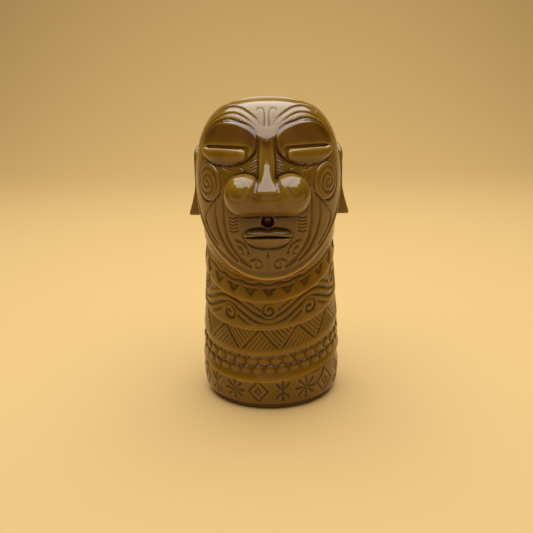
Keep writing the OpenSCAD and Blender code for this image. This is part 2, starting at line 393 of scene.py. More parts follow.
    def opened(self, form: Array, p: Array) -> Array:
        """Distance of points outside a form with the hollow taken out of it below the rim, in mm."""
        edge = 0.6
        return smooth_max(form, smooth_max(-self.hollow(p), self.rim.above(p), edge), edge)

    def on_face(self, x: Array, z: Array) -> Array:
        """Points of the face seen at places from the front.

        Args:
            x: Sideways places in mm.
            z: Heights in mm.

        Returns:
            Points on the face's form in mm.
        """
        y = -self.face_forward - np.sqrt(np.maximum(self.radius(z) ** 2 - x**2, 0.0))
        return np.stack([x, y, z], axis=1)

    def egg(self, turn: float, z: float, half_w: float, half_h: float, proud: float, sink: float) -> Egg:
        """An egg sunk square into the face.

        Args:
            turn: Direction round from the front in degrees.
            z: Height in mm.
            half_w: Half width in mm.
            half_h: Half height in mm.
            proud: How far it stands out in mm.
            sink: How deep its middle lies in mm.

        Returns:
            The egg.
        """
        lean = self.lean(z)
        (c, s), (level, drop) = cos_sin(turn), cos_sin(lean)
        out = self.radius_at(z) - sink * level
        centre = (out * s, -self.face_forward - out * c, z - sink * drop)
        return Egg(centre, (half_w, proud + sink, half_h), turn, lean)


def surface_net(distance: Distance, low: tuple, high: tuple, step: float) -> tuple[Array, Array]:
    """Meshes the zero surface of a distance function with one point per crossed cell.

    Args:
        distance: Distance function in mm.
        low: Lowest corner of the search box in mm.
        high: Highest corner in mm.
        step: Cell size in mm.

    Returns:
        Points in mm and quads of point numbers, facing outwards.
    """
    # Only blocks of cells that the surface may cross are worked out in full, a batch of points at a time.
    block, margin, batch = 8, 1.5, 400_000
    low = np.array(low, dtype=float)
    count = np.ceil((np.array(high) - low) / step / block).astype(int) * block + 1
    blocks = (count - 1) // block + 1
    grid = np.stack(np.meshgrid(*[np.arange(n) for n in blocks], indexing="ij"), axis=-1).reshape(-1, 3)
    rough = distance(low + (grid + 0.5) * block * step).reshape(blocks)

    def every_cell(values: Array) -> Array:
        """Values of the blocks, repeated for each of their cells."""
        values = values.repeat(block, 0).repeat(block, 1).repeat(block, 2)
        return values[: count[0], : count[1], : count[2]]

    values = every_cell(rough).copy()
    where = np.argwhere(every_cell(np.abs(rough) < block * step * margin))
    for part in np.array_split(where, max(1, len(where) // batch)):
        values[tuple(part.T)] = distance(low + part * step)

    inside = values < 0.0
    cells = count - 1
    total = np.zeros((*cells, 3))
    crossings = np.zeros(cells)
    for axis in range(3):
        b, c = (axis + 1) % 3, (axis + 2) % 3
        for db, dc in ((0, 0), (0, 1), (1, 0), (1, 1)):
            first = [slice(0, -1)] * 3
            first[b] = slice(db, cells[b] + db)
            first[c] = slice(dc, cells[c] + dc)
            second = list(first)
            second[axis] = slice(1, None)
            v0, v1 = values[tuple(first)], values[tuple(second)]
            index = np.nonzero((v0 < 0.0) != (v1 < 0.0))
            along = v0[index] / (v0[index] - v1[index])
            for way, share in ((axis, along), (b, db), (c, dc)):
                total[(*index, np.full(len(along), way))] += share
            crossings[index] += 1.0
    used = np.nonzero(crossings)
    number = np.full(cells, -1, dtype=np.int64)
    number[used] = np.arange(len(used[0]))
    points = low + (np.stack(used, axis=1) + total[used] / crossings[used][:, None]) * step

    quads = []
    for axis in range(3):
        b, c = (axis + 1) % 3, (axis + 2) % 3
        lower = [slice(None)] * 3
        lower[axis] = slice(0, -1)
        upper = list(lower)
        upper[axis] = slice(1, None)
        s0, s1 = inside[tuple(lower)], inside[tuple(upper)]
        for outward in (True, False):
            edge = np.argwhere((s0 & ~s1) if outward else (~s0 & s1))
            ring = []
            for db, dc in ((-1, -1), (0, -1), (0, 0), (-1, 0)):
                cell = edge.copy()
                cell[:, b] += db
                cell[:, c] += dc
                ring.append(number[tuple(cell.T)])
            quads.append(np.stack(ring if outward else ring[::-1], axis=1))
    return settle(distance, points, step), np.concatenate(quads)


def settle(distance: Distance, points: Array, step: float) -> Array:
    """Moves points onto the zero surface of a distance function.

    Args:
        distance: Distance function in mm.
        points: Points in mm.
        step: Cell size of their mesh in mm.

    Returns:
        Moved points in mm.
    """
    rounds, reach, least_slope, longest = 2, 0.02, 0.2, 0.6 * step
    for _ in range(rounds):
        off = distance(points)
        slope = np.stack([(distance(points + shift) - off) / reach for shift in reach * np.eye(3)], axis=1)
        size = np.maximum(np.sum(slope**2, axis=1), least_slope)
        move = -(off / size)[:, None] * slope
        length = np.maximum(np.linalg.norm(move, axis=1), 1e-9)
        points = points + move * np.minimum(1.0, longest / length)[:, None]
    return points


def quad_normals(points: Array, quads: Array) -> Array:
    """Normals of a mesh's points, from the quads round them.

    Args:
        points: Points in mm.
        quads: Quads of point numbers.

    Returns:
        Unit normals.
    """
    cross = np.cross(points[quads[:, 2]] - points[quads[:, 0]], points[quads[:, 3]] - points[quads[:, 1]])
    normals = np.zeros_like(points)
    for corner in range(4):
        np.add.at(normals, quads[:, corner], cross)
    return normals / np.maximum(np.linalg.norm(normals, axis=1), 1e-12)[:, None]


def glaze_depth_and_shade(points: Array, quads: Array, reach: float) -> Array:
    """How thick the glaze lies: it runs off edges and pools in hollows.

    Args:
        points: Points in mm.
        quads: Quads of point numbers.
        reach: Distance over which the glaze levels itself in mm.

    Returns:
        Thickness per point, from below 0 on a sharp edge to 1 in a deep groove.
    """
    full_rise, edge_share, most_rounds = 0.32 * reach, 0.8, 60
    first = quads.ravel()
    second = np.roll(quads, -1, axis=1).ravel()
    spacing = float(np.median(np.linalg.norm(points[first] - points[second], axis=1)))
    links = np.bincount(first, minlength=len(points)) + np.bincount(second, minlength=len(points))
    level = points.copy()
    for _ in range(min(most_rounds, max(2, int((reach / spacing) ** 2)))):
        total = np.empty_like(level)
        for axis in range(3):
            total[:, axis] = np.bincount(first, weights=level[second, axis], minlength=len(points))
            total[:, axis] += np.bincount(second, weights=level[first, axis], minlength=len(points))
        level = 0.5 * level + 0.5 * total / links[:, None]
    depth = np.sum((level - points) * quad_normals(points, quads), axis=1) / full_rise
    depth = np.clip(depth, -1.0, 1.0)
    return np.where(depth < 0.0, edge_share * depth, depth)


def store_depth(mesh: Mesh, depth: Array) -> None:
    """Stores the glaze's thickness, with any painted shade and painted highlight added, on a mesh's points,
    for the finish to read.
    """
    attribute = mesh.attributes.new("glaze_depth_and_shade", "FLOAT", "POINT")
    attribute.data.foreach_set("value", np.clip(depth, -1.0, 1.0).astype(np.float32))


def make_piece(name: str, points: Array, quads: Array, material: Material, reach: float = 1.4,
               extra: Array | float = 0.0) -> Object:
    """Makes a smooth piece with its glaze thickness stored on its points.

    Args:
        name: Name of the piece.
        points: Points in mm.
        quads: Quads of point numbers.
        material: Its finish.
        reach: Distance over which the glaze levels itself in mm.
        extra: Depth added to what levels itself: glaze pooled in carved patterns, painted shade where parts
            meet, and painted highlight.

    Returns:
        The new object.
    """
    mesh = bpy.data.meshes.new(name)
    mesh.from_pydata((points * MM).tolist(), [], quads.tolist())
    mesh.validate()
    mesh.shade_smooth()
    store_depth(mesh, glaze_depth_and_shade(points, quads, reach) + extra)
    mesh.materials.append(material)
    return show(name, mesh)


def show(name: str, mesh: Mesh) -> Object:
    """Puts a mesh into the scene as a new object.

    Args:
        name: Name of the object.
        mesh: Its mesh.

    Returns:
        The new object.
    """
    thing = bpy.data.objects.new(name, mesh)
    bpy.context.scene.collection.objects.link(thing)
    return thing


def plain_mesh(thing: Object) -> Mesh:
    """A new mesh of an object as its modifiers leave it."""
    graph = bpy.context.evaluated_depsgraph_get()
    return bpy.data.meshes.new_from_object(thing.evaluated_get(graph), depsgraph=graph)


def thin_out(piece: Object, hidden: Array, keep: float) -> None:
    """Thins a piece's mesh where it is smooth and out of sight.

    Args:
        piece: The piece.
        hidden: Whether each of its points may go.
        keep: Share of the faces that stay.
    """
    group = piece.vertex_groups.new(name="hidden")
    group.add(np.flatnonzero(hidden).tolist(), 1.0, "REPLACE")
    thinning = piece.modifiers.new("thin", "DECIMATE")
    thinning.ratio = keep
    thinning.vertex_group = group.name
    thinning.vertex_group_factor = 100.0
    mesh = plain_mesh(piece)
    piece.modifiers.clear()
    piece.vertex_groups.clear()
    full, piece.data = piece.data, mesh
    bpy.data.meshes.remove(full)


def place(piece: Object, slot: Slot, *nodes: str) -> None:
    """Puts a piece on the mug's body in place of its solid, and reports it.

    Args:
        piece: The piece.
        slot: Material slot that it takes; not used.
        nodes: Nodes that it stands for.
    """
    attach(piece, BODY)
    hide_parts(*nodes)
    LOG.info("%s: %d faces", piece.name, len(piece.data.polygons))


def linear(hex_colour: str) -> tuple[float, float, float, float]:
    """Turns an sRGB hex colour to linear values.

    Args:
        hex_colour: Colour as #rrggbb.

    Returns:
        Linear red, green, blue and full alpha.
    """
    parts = [int(hex_colour[i:i + 2], 16) / 255 for i in (1, 3, 5)]
    values = [v / 12.92 if v <= 0.04045 else ((v + 0.055) / 1.055) ** 2.4 for v in parts]
    return (values[0], values[1], values[2], 1.0)


def add_node(tree: NodeTree, kind: str, links: dict | None = None, **settings: object) -> Node:
    """Adds a node with its settings, input values and links.

    Args:
        tree: Tree that gets the node.
        kind: Type name of the node.
        links: Input name or number to a value, or to the output socket that feeds it.
        settings: Properties of the node.

    Returns:
        The new node.
    """
    node = tree.nodes.new(kind)
    for name, value in settings.items():
        setattr(node, name, value)
    for name, value in (links or {}).items():
        if isinstance(value, NodeSocket):
            tree.links.new(value, node.inputs[name])
        else:
            node.inputs[name].default_value = value
    return node


def new_finish(name: str) -> tuple[Material, NodeTree]:
    """Starts a finish without nodes.

    Args:
        name: Its name.

    Returns:
        The material and its node tree.
    """
    material = bpy.data.materials.new(name)
    material.use_nodes = True
    material.node_tree.nodes.clear()
    return material, material.node_tree


@dataclass(frozen=True)
class Glaze:
    """Glossy glaze over pale fired clay: light where it runs thin on edges, dark brown where it pools; stored
    painted shade and painted highlight darken and lighten it the same way.

    Attributes:
        name: Name of the finish.
        thin: Colour on edges, where the clay shows through.
        body: Colour of even glaze.
        rich: Colour of thick glaze.
        deep: Colour in grooves.
        roughness: Roughness of the coloured layer.
        gloss: Roughness of the glassy top layer.
        coat: Share of the surface that the glassy layer covers.
        mottle_mm: Size of the cloudy colour changes.
        speck_mm: Size of the iron specks.
        ripple_mm: Size of the ripples in the glaze.
        run_down: How much thicker it lies at the foot than at the crown.
        run_mm: Heights between which that thickness is lost.
    """

    name: str
    thin: str
    body: str
    rich: str
    deep: str
    roughness: float = 0.3
    gloss: float = 0.06
    coat: float = 0.82
    mottle_mm: float = 14.0
    speck_mm: float = 1.1
    ripple_mm: float = 5.0
    run_down: float = 0.36
    run_mm: tuple[float, float] = (30.0, 150.0)

    def make(self) -> Material:
        """Builds the material.

        Returns:
            The material.
        """
        material, tree = new_finish(self.name)
        here = add_node(tree, "ShaderNodeTexCoord").outputs["Object"]
        # The stored depth holds the glaze's thickness together with painted shade and painted highlight.
        depth = add_node(tree, "ShaderNodeAttribute", attribute_name="glaze_depth_and_shade").outputs["Fac"]
        cloud = add_node(tree, "ShaderNodeTexNoise", {
            "Vector": here, "Scale": 1.0 / (self.mottle_mm * MM), "Detail": 3.0})
        # The clouds shift the glaze's thickness a little, so that even stretches aren't one flat colour.
        shifted = add_node(tree, "ShaderNodeMath", {
            0: cloud.outputs["Fac"], 1: 0.5, 2: depth}, operation="MULTIPLY_ADD")
        # It ran down before it set, so that it lies thicker and browner low on the mug.
        height = add_node(tree, "ShaderNodeSeparateXYZ", {0: here}).outputs["Z"]
        run = add_node(tree, "ShaderNodeMapRange", {
            "Value": height, "From Min": self.run_mm[0] * MM, "From Max": self.run_mm[1] * MM,
            "To Min": self.run_down, "To Max": 0.0})
        total = add_node(tree, "ShaderNodeMath", {0: shifted.outputs[0], 1: run.outputs[0]}, operation="ADD")
        spread = add_node(tree, "ShaderNodeMapRange", {
            "Value": total.outputs[0], "From Min": -0.75, "From Max": 1.25})
        ramp = add_node(tree, "ShaderNodeValToRGB", {"Fac": spread.outputs[0]})
        stops = ramp.color_ramp.elements
        stops[0].position, stops[0].color = 0.12, linear(self.thin)
        stops[1].position, stops[1].color = 0.94, linear(self.deep)
        for position, shade in ((0.46, self.body), (0.66, self.rich)):
            stops.new(position).color = linear(shade)
        speck = add_node(tree, "ShaderNodeTexNoise", {
            "Vector": here, "Scale": 1.0 / (self.speck_mm * MM), "Detail": 1.0})
        dots = add_node(tree, "ShaderNodeMapRange", {
            "Value": speck.outputs["Fac"], "From Min": 0.68, "From Max": 0.78, "To Max": 0.35})
        colour = add_node(tree, "ShaderNodeMix", {
            "Factor": dots.outputs[0], 6: ramp.outputs["Color"], 7: linear(self.deep)}, data_type="RGBA")
        ripple = add_node(tree, "ShaderNodeTexNoise", {
            "Vector": here, "Scale": 1.0 / (self.ripple_mm * MM), "Detail": 2.0})
        bump = add_node(tree, "ShaderNodeBump", {
            "Height": ripple.outputs["Fac"], "Strength": 0.12, "Distance": 0.4 * MM})
        shader = add_node(tree, "ShaderNodeBsdfPrincipled", {
            "Base Color": colour.outputs[2], "Roughness": self.roughness, "IOR": 1.52,
            "Specular IOR Level": 0.1, "Coat Weight": self.coat, "Coat Roughness": self.gloss,
            "Coat IOR": 1.7, "Normal": bump.outputs["Normal"], "Coat Normal": bump.outputs["Normal"]})
        add_node(tree, "ShaderNodeOutputMaterial", {"Surface": shader.outputs["BSDF"]})
        return material


@dataclass(frozen=True)
class BareClay:
    """Unglazed fired clay: matt, grainy, stained by the glaze above it.

    Attributes:
        name: Name of the finish.
        pale: Colour of the clay.
        stain: Colour of its stains.
        grit_mm: Size of the grit.
    """

    name: str = "fired_stoneware_clay"
    pale: str = "#8a6a3c"
    stain: str = "#4e371a"
    grit_mm: float = 0.7

    def make(self) -> Material:
        """Builds the material.

        Returns:
            The material.
        """
        material, tree = new_finish(self.name)
        here = add_node(tree, "ShaderNodeTexCoord").outputs["Object"]
        grit = add_node(tree, "ShaderNodeTexNoise", {"Vector": here, "Scale": 1.0 / (self.grit_mm * MM)})
        colour = add_node(tree, "ShaderNodeMix", {
            "Factor": grit.outputs["Fac"], 6: linear(self.pale), 7: linear(self.stain)}, data_type="RGBA")
        bump = add_node(tree, "ShaderNodeBump", {
            "Height": grit.outputs["Fac"], "Strength": 0.5, "Distance": 0.3 * MM})
        shader = add_node(tree, "ShaderNodeBsdfPrincipled", {
            "Base Color": colour.outputs[2], "Roughness": 0.75, "Normal": bump.outputs["Normal"]})
        add_node(tree, "ShaderNodeOutputMaterial", {"Surface": shader.outputs["BSDF"]})
        return material


@dataclass
class Carving:
    """Depth map of the lines cut into the face, on a sheet wrapped round the head from the front.

    Attributes:
        head: The head that carries it.
        centre: Point that the sheet is wrapped round in mm.
        radius: Radius at which the sheet is measured in mm.
        cell: Cell size of the map in mm.
        low: Lowest place of the map in mm.
        size: Size of the map in mm.
        depth: The map: depth of the cut in each cell in mm.
    """

    head: Head
    centre: tuple[float, float, float] = (0.0, -2.0, 122.0)
    radius: float = 42.0
    cell: float = 0.15
    low: tuple[float, float] = (-3.0, -62.0)
    size: tuple[float, float] = (90.0, 150.0)
    depth: Array = field(init=False)

    def __post_init__(self) -> None:
        """Starts with an uncut map."""
        self.depth = np.zeros([int(n / self.cell) for n in self.size])

    def sheet(self, p: Array) -> Array:
        """Places of points on the sheet, with both sides of the face folded together.

        Args:
            p: Points in mm.

        Returns:
            Sideways and upward places in mm, one point per row.
        """
        q = p - np.array(self.centre)
        flat = np.hypot(q[:, 0], q[:, 2])
        scale = self.radius * np.arctan2(flat, -q[:, 1]) / np.maximum(flat, 1e-6)
        return np.stack([np.abs(q[:, 0]) * scale, q[:, 2] * scale], axis=1)

    def stroke(self, points: list[tuple[float, float]], width: float, depth: float, start: float = 1.0,
               end: float = 1.0) -> None:
        """Cuts one line through places seen from the front.

        Args:
            points: Sideways place and height of each point in mm, on the right of the face.
            width: Width of the line in mm.
            depth: Its depth in mm.
            start: Share of the depth with which it starts, over its first third.
            end: Share of the depth with which it ends, over its last third.
        """
        path = self.sheet(self.head.on_face(*smooth_path(points).T))
        share = np.linspace(0.0, 3.0, len(path) - 1)
        ends = np.minimum(start + share * (1.0 - start), end + (3.0 - share) * (1.0 - end))
        half_width = width / 2.0
        # Past this reach, next to nothing is cut.
        reach = 2.2 * half_width
        for a, b, deep in zip(path[:-1], path[1:], depth * np.clip(ends, 0.0, 1.0)):
            lo = np.floor((np.minimum(a, b) - reach - self.low) / self.cell).astype(int)
            hi = np.ceil((np.maximum(a, b) + reach - self.low) / self.cell).astype(int) + 1
            lo, hi = np.clip(lo, 0, self.depth.shape), np.clip(hi, 0, self.depth.shape)
            if np.any(hi <= lo):
                continue
            u = self.low[0] + np.arange(lo[0], hi[0])[:, None] * self.cell - a[0]
            v = self.low[1] + np.arange(lo[1], hi[1])[None, :] * self.cell - a[1]
            along = b - a
            t = rise(u * along[0] + v * along[1], max(float(along @ along), 1e-9))
            off = np.hypot(u - t * along[0], v - t * along[1])
            window = self.depth[lo[0]:hi[0], lo[1]:hi[1]]
            np.maximum(window, groove(off, half_width, deep), out=window)

    def at(self, p: Array) -> Array:
        """Depth of the carving at points, drawn evenly between the map's cells.

        Args:
            p: Points in mm.

        Returns:
            Depths in mm.
        """
        spot = np.clip((self.sheet(p) - self.low) / self.cell, 0, np.array(self.depth.shape) - 1.001)
        i, j = spot.astype(int).T
        fu, fv = (spot - np.floor(spot)).T
        low_row = self.depth[i, j] * (1 - fv) + self.depth[i, j + 1] * fv
        high_row = self.depth[i + 1, j] * (1 - fv) + self.depth[i + 1, j + 1] * fv
        return low_row * (1 - fu) + high_row * fu


def smooth_path(corners: list[tuple[float, float]], steps: int = 12) -> Array:
    """Runs a smooth curve through points.

    Args:
        corners: The points.
        steps: Steps between two of them.

    Returns:
        Points along the curve, one per row.
    """
    points = np.array(corners, dtype=float)
    if len(points) < 3:
        return np.linspace(points[0], points[-1], steps)
    padded = np.vstack([2 * points[0] - points[1], points, 2 * points[-1] - points[-2]])
    t = np.linspace(0.0, 1.0, steps, endpoint=False)[:, None]
    curve = []
    for p0, p1, p2, p3 in zip(padded[:-3], padded[1:-2], padded[2:-1], padded[3:]):
        curve.append(0.5 * (2 * p1 + (p2 - p0) * t + (2 * p0 - 5 * p1 + 4 * p2 - p3) * t**2
                            + (3 * p1 - p0 - 3 * p2 + p3) * t**3))
    return np.vstack([*curve, points[-1:]])


@dataclass
class Face:
    """The face with its jaw edge and carving, and what is set on it. Sizes are in mm, angles in degrees.

    Attributes:
        head: Turned forms of the head.
        finish, raised: Finishes of the face and of what is set on it.
        step, nose_step, fine: Cell sizes of the meshes of the face, the nose and the smaller pieces.
        keep_hidden: Share of the mesh that stays on the inside, which is out of sight.
        sink: How deep the pieces reach into the face.
        ridge_z, ridge_tilt: Height on the axis and slope of the jaw's ridge.
        eye_turn, eye_z: Direction of an eye round from the front, and its height.
        eye_half, eye_power: Half width and half height of an eye's outline, and how square it is.
        lid_proud, lid_lean: How far an upper lid stands out at the slit, and its backward lean.
        lid_twist, lid_round: How much more it leans for each mm outwards, and how it falls off to its ends.
        lower_half: Half width and half height of a lower lid.
        lower_proud, lower_sink: How far it stands out, and how deep the middle of its form lies.
        slit_z, slit_w: Height and width of the slit between the lids.
        slit_reach: How far the slit reaches inwards and outwards.
        mouth_z, lips_gap: Height of the line between the lips, and the gap in its middle.
        upper_lip_half, lower_lip_half: Half width and half height of each lip.
        lips_proud, lips_sink: How far each lip stands out, and how deep the middle of their forms lies.
        nose_z, nose_half_w: Height of the nose's middle and half its width.
        nostril_r, tip_half: Radius of a nostril lobe, and half sizes of the tip.
        bridge_half_w, bridge_top_z, brow_proud: Half width of the bridge, its top and its reach there.
        bend_z, bridge_proud: Height of the bend, where it starts to ramp out, and its reach there.
        ramp_half: Half width of the ramp at the bend and at the nose's middle.
        brow_tip_z, brow_lift: Height of the brow's point over the bridge, and how far it stands out.
        pit_r, pit_z, pit_depth: Radius, height and depth of the round pit under the nose.
        cheek_r, cheek_turn, cheek_z: Radius, direction and height of a cheek disc.
        cheek_proud: How far a cheek disc stands out.
        ridge, carving: Plane of the jaw's ridge, and lines cut into the face.
    """

    head: Head
    finish: Material
    raised: Material
    step: float = 0.46
    nose_step: float = 0.4
    fine: float = 0.33
    keep_hidden: float = 0.7
    sink: float = 0.8
    ridge_z: float = 131.3
    ridge_tilt: float = 53.0
    eye_turn: float = 35.5
    eye_z: float = 147.6
    eye_half: tuple[float, float] = (17.7, 10.9)
    eye_power: float = 2.2
    lid_proud: float = 2.0
    lid_lean: float = 25.0
    lid_twist: float = 0.25
    lid_round: float = 0.003
    lower_half: tuple[float, float] = (16.3, 8.3)
    lower_proud: float = 1.7
    lower_sink: float = 2.0
    slit_z: float = 146.3
    slit_w: float = 1.5
    slit_reach: tuple[float, float] = (14.0, 11.5)
    mouth_z: float = 100.8
    lips_gap: float = 1.8
    upper_lip_half: tuple[float, float] = (13.0, 4.9)
    lower_lip_half: tuple[float, float] = (12.6, 6.5)
    lips_proud: tuple[float, float] = (3.5, 3.4)
    lips_sink: float = 1.4
    nose_z: float = 123.0
    nose_half_w: float = 22.2
    nostril_r: float = 10.6
    tip_half: tuple[float, float, float] = (10.0, 10.8, 8.2)
    bridge_half_w: float = 4.1
    bridge_top_z: float = 151.0
    brow_proud: float = 0.3
    bridge_proud: float = 1.3
    bend_z: float = 139.6
    ramp_half: tuple[float, float] = (0.8, 5.6)
    brow_tip_z: float = 148.9
    brow_lift: float = 1.2
    pit_r: float = 3.1
    pit_z: float = 109.0
    pit_depth: float = 3.4
    cheek_r: float = 10.2
    cheek_turn: float = 52.0
    cheek_z: float = 127.4
    cheek_proud: float = 0.5
    ridge: Plane = field(init=False)
    carving: Carving = field(init=False)

    def __post_init__(self) -> None:
        """Sets the ridge of the jaw and cuts the carving."""
        self.ridge = Plane(self.ridge_z, self.ridge_tilt)
        self.carving = Carving(self.head)
        self.carve_brow()
        self.carve_cheeks()
        self.carve_chin()

    def carve_brow(self) -> None:
        """Cuts the rays that sweep from the bridge out over the eyes, with dots between two of them."""
        cut = self.carving
        low = [(6, 154.4), (10.5, 157), (15, 158.9), (20.3, 159.8), (25.8, 158.4), (31, 154.6), (35, 148.6),
               (37, 142.6)]
        middle = [(5, 156.6), (9.4, 159.4), (13.6, 161.6), (18, 162.5), (24, 161), (30, 156.8), (33.6, 151.4),
                  (35.8, 145.8)]
        high = [(1.8, 156.2), (5, 159.6), (9, 162.6), (13.5, 164.9), (19, 165.4), (24.6, 163.2),
                (28.8, 159.2), (32, 154.2)]
        cut.stroke(low, 2.0, 0.75, 0.1, 0.1)
        cut.stroke(middle, 1.7, 0.6, 0.2, 0.1)
        cut.stroke(high, 2.2, 0.8, 0.2, 0.1)
        cut.stroke([(1.5, 156.6), (1.4, 161.4), (2, 164.6), (4.2, 165), (5.2, 163.8)], 1.6, 0.6)
        a, b = smooth_path(low[1:]), smooth_path(middle[1:])
        for share in np.linspace(0.1, 0.74, 17):
            p, q = a[int(share * (len(a) - 1))], b[int(share * (len(b) - 1))]
            for side in (0.36, 0.64):
                x, z = p + (q - p) * side
                cut.stroke([(x, z), (x + 0.3, z + 0.2)], 0.9, 0.34)

    def carve_cheeks(self) -> None:
        """Cuts the lines beside the nose and round the jaw."""
        cut = self.carving
        cut.stroke([(22.9, 123), (23.3, 116), (23, 108), (21.6, 100), (18.6, 93.4), (14.4, 88), (9.4, 84)],
                   2.6, 0.85)
        cut.stroke([(27.4, 118.6), (27.8, 112), (26.8, 105), (24.4, 98), (20.8, 91.8), (16.4, 87)], 2.3, 0.7)
        cut.stroke([(25, 122.4), (28.6, 118), (31.8, 113), (33.6, 107.4), (31.4, 100.6), (27, 94.2)],
                   2.5, 0.75)
        cut.stroke([(24.5, 138), (21.4, 135.4), (17.6, 135)], 1.6, 0.5)
        cut.stroke([(19.4, 138), (18.6, 136.2)], 1.4, 0.45)
        cut.stroke([(13.4, 136.6), (11.2, 135.4), (11.6, 133.6)], 1.5, 0.5)
        for i in range(6):
            cut.stroke([(4.8, 141 - 1.55 * i), (8.2 - 0.1 * i, 139.3 - 1.5 * i)], 0.9, 0.4)
        for i in range(5):
            cut.stroke([(15.8, 110.8 - 1.8 * i), (18, 109.9 - 1.8 * i), (19.8, 110.3 - 1.8 * i)], 1.2, 0.45)

    def carve_chin(self) -> None:
        """Cuts the scrolls on the chin."""
        cut = self.carving
        cut.stroke([(16.6, 98.4), (13.6, 97.2), (11.2, 94.8), (10.4, 92)], 1.6, 0.55)
        cut.stroke([(15.4, 95), (13.8, 93.8), (13, 91.6), (14.2, 90.4)], 1.4, 0.5)
        cut.stroke([(10.4, 86.4), (7.4, 88.4), (4.3, 87.6), (3.3, 85.4), (4.6, 83.7), (6.6, 84), (6.4, 85.6)],
                   1.5, 0.55)
        cut.stroke([(0, 92.6), (0, 90.4)], 1.6, 0.6)

    def seated(self, form: Array, p: Array) -> Array:
        """Distance of points outside a form that is cut off a little way inside the face, in mm."""
        return np.maximum(form, -self.head.face(p) - self.sink)

    def eye_outline(self, side: Side) -> Egg:
        """The deep almond that bounds a closed eye.

        Args:
            side: Side of the face.

        Returns:
            An egg that runs right through the head.
        """
        turn = side.value * self.eye_turn
        c, s = cos_sin(turn)
        r = self.head.radius_at(self.eye_z)
        w, h = self.eye_half
        endless = 1000.0
        centre = (r * s, -self.head.face_forward - r * c, self.eye_z)
        return Egg(centre, (w, endless, h), turn, power=self.eye_power)

    def lid_form(self, p: Array, side: Side) -> Array:
        """Distance of points outside the crisp-edged form that an upper eyelid is cut from.

        Args:
            p: Points in mm.
            side: Side of the face.

        Returns:
            Distances in mm.
        """
        # The lid keeps its lean past this reach from its middle.
        reach = 20.0
        outline = self.eye_outline(side)
        outward = np.clip(outline.local(p)[:, 0] * side.value, -reach, reach)
        lean = np.radians(self.lid_lean + self.lid_twist * outward)
        r = self.head.radius_at(self.slit_z) + self.lid_proud
        r = r - np.tan(lean) * (p[:, 2] - self.slit_z) - self.lid_round * outward**2
        front = np.hypot(p[:, 0], p[:, 1] + self.head.face_forward) - r
        return smooth_max(front * np.cos(lean), outline.distance(p), 1.3)

    def lower_egg(self, side: Side) -> Egg:
        """The egg that a lower eyelid is cut from."""
        return self.head.egg(side.value * self.eye_turn, self.slit_z - 1.0, *self.lower_half,
                             self.lower_proud, self.lower_sink)

    def eye(self, p: Array, side: Side) -> Array:
        """Distance of points outside a whole closed eye, in mm."""
        return smooth_min(self.lid_form(p, side), self.lower_egg(side).distance(p), 1.5)

    def lid_split(self, p: Array, side: Side) -> tuple[Array, Array]:
        """Distance of points outside the lower lid's field, and half the slit's width there.

        Args:
            p: Points in mm.
            side: Side of the face.

        Returns:
            Distances in mm along the eye's surface, and half widths in mm.
        """
        slope, sag, corner = 0.02, 0.003, 3.0
        past_end, fade_w, least_share = 2.5, 4.0, 0.06
        outward = self.eye_outline(side).local(p)[:, 0] * side.value
        line = p[:, 2] - self.slit_z + slope * outward + sag * outward**2
        inner, outer = self.slit_reach
        off = smooth_max(line, -inner - outward, corner)
        half = 0.5 * self.slit_w * np.clip((outer + past_end - outward) / fade_w, least_share, 1.0)
        return off, half

    def upper_lid(self, p: Array, side: Side) -> Array:
        """Distance of points outside an upper eyelid, in mm."""
        off, half = self.lid_split(p, side)
        return self.seated(smooth_max(self.lid_form(p, side), half - off, 1.1), p)

    def lower_lid(self, p: Array, side: Side) -> Array:
        """Distance of points outside a lower eyelid, in mm."""
        off, half = self.lid_split(p, side)
        return self.seated(smooth_max(self.lower_egg(side).distance(p), off + half, 1.7), p)

    def lip_split(self, p: Array) -> tuple[Array, Array]:
        """Height of points above the line between the lips, and half the gap, which closes to the corners.

        Args:
            p: Points in mm.

        Returns:
            Heights and half gaps in mm.
        """
        wave_h, wave_w, least_share = 0.4, 4.2, 0.08
        line = p[:, 2] - self.mouth_z - wave_h * np.cos(p[:, 0] / wave_w)
        open_share = np.clip(1.25 - np.abs(p[:, 0]) / self.upper_lip_half[0], least_share, 1.0)
        return line, 0.5 * self.lips_gap * open_share

    def upper_lip(self, p: Array) -> Array:
        """Distance of points outside the upper lip with its bow, in mm.

        Args:
            p: Points in mm.

        Returns:
            Distances in mm.
        """
        bow_up, bow_flat = 5.2, 1.4
        line, half = self.lip_split(p)
        lip = self.head.egg(0.0, self.mouth_z, *self.upper_lip_half, self.lips_proud[0], self.lips_sink)
        from_bow = np.hypot(p[:, 0], bow_flat * (p[:, 2] - self.mouth_z - bow_up))
        bow = groove(from_bow, half_width=3.4, depth=1.3)
        return self.seated(smooth_max(lip.distance(p) + bow, half - line, 1.3), p)

    def lower_lip(self, p: Array) -> Array:
        """Distance of points outside the lower lip, in mm.

        Args:
            p: Points in mm.

        Returns:
            Distances in mm.
        """
        line, half = self.lip_split(p)
        lip = self.head.egg(0.0, self.mouth_z, *self.lower_lip_half, self.lips_proud[1], self.lips_sink)
        return self.seated(smooth_max(lip.distance(p), line + half, 1.3), p)

    def curl(self, q: Array) -> Array:
        """Depth of the soft spiral on the outside of a nostril lobe.

        Args:
            q: Points seen from the lobe's middle in mm.

        Returns:
            Depths in mm.
        """
        aim, bare_r = (0.30, -0.86, 0.38), 2.0
        ahead = np.array(aim) / np.linalg.norm(aim)
        right = np.cross(ahead, [0.0, 0.0, 1.0])
        right /= np.linalg.norm(right)
        u, v = q @ right, q @ np.cross(right, ahead)
        depth = spiral_groove(u, v, pitch=3.6, reach=7.4, half_width=1.3, depth=0.22)
        return depth * rise(np.hypot(u, v) - bare_r, 1.0) * (q @ ahead > 0)

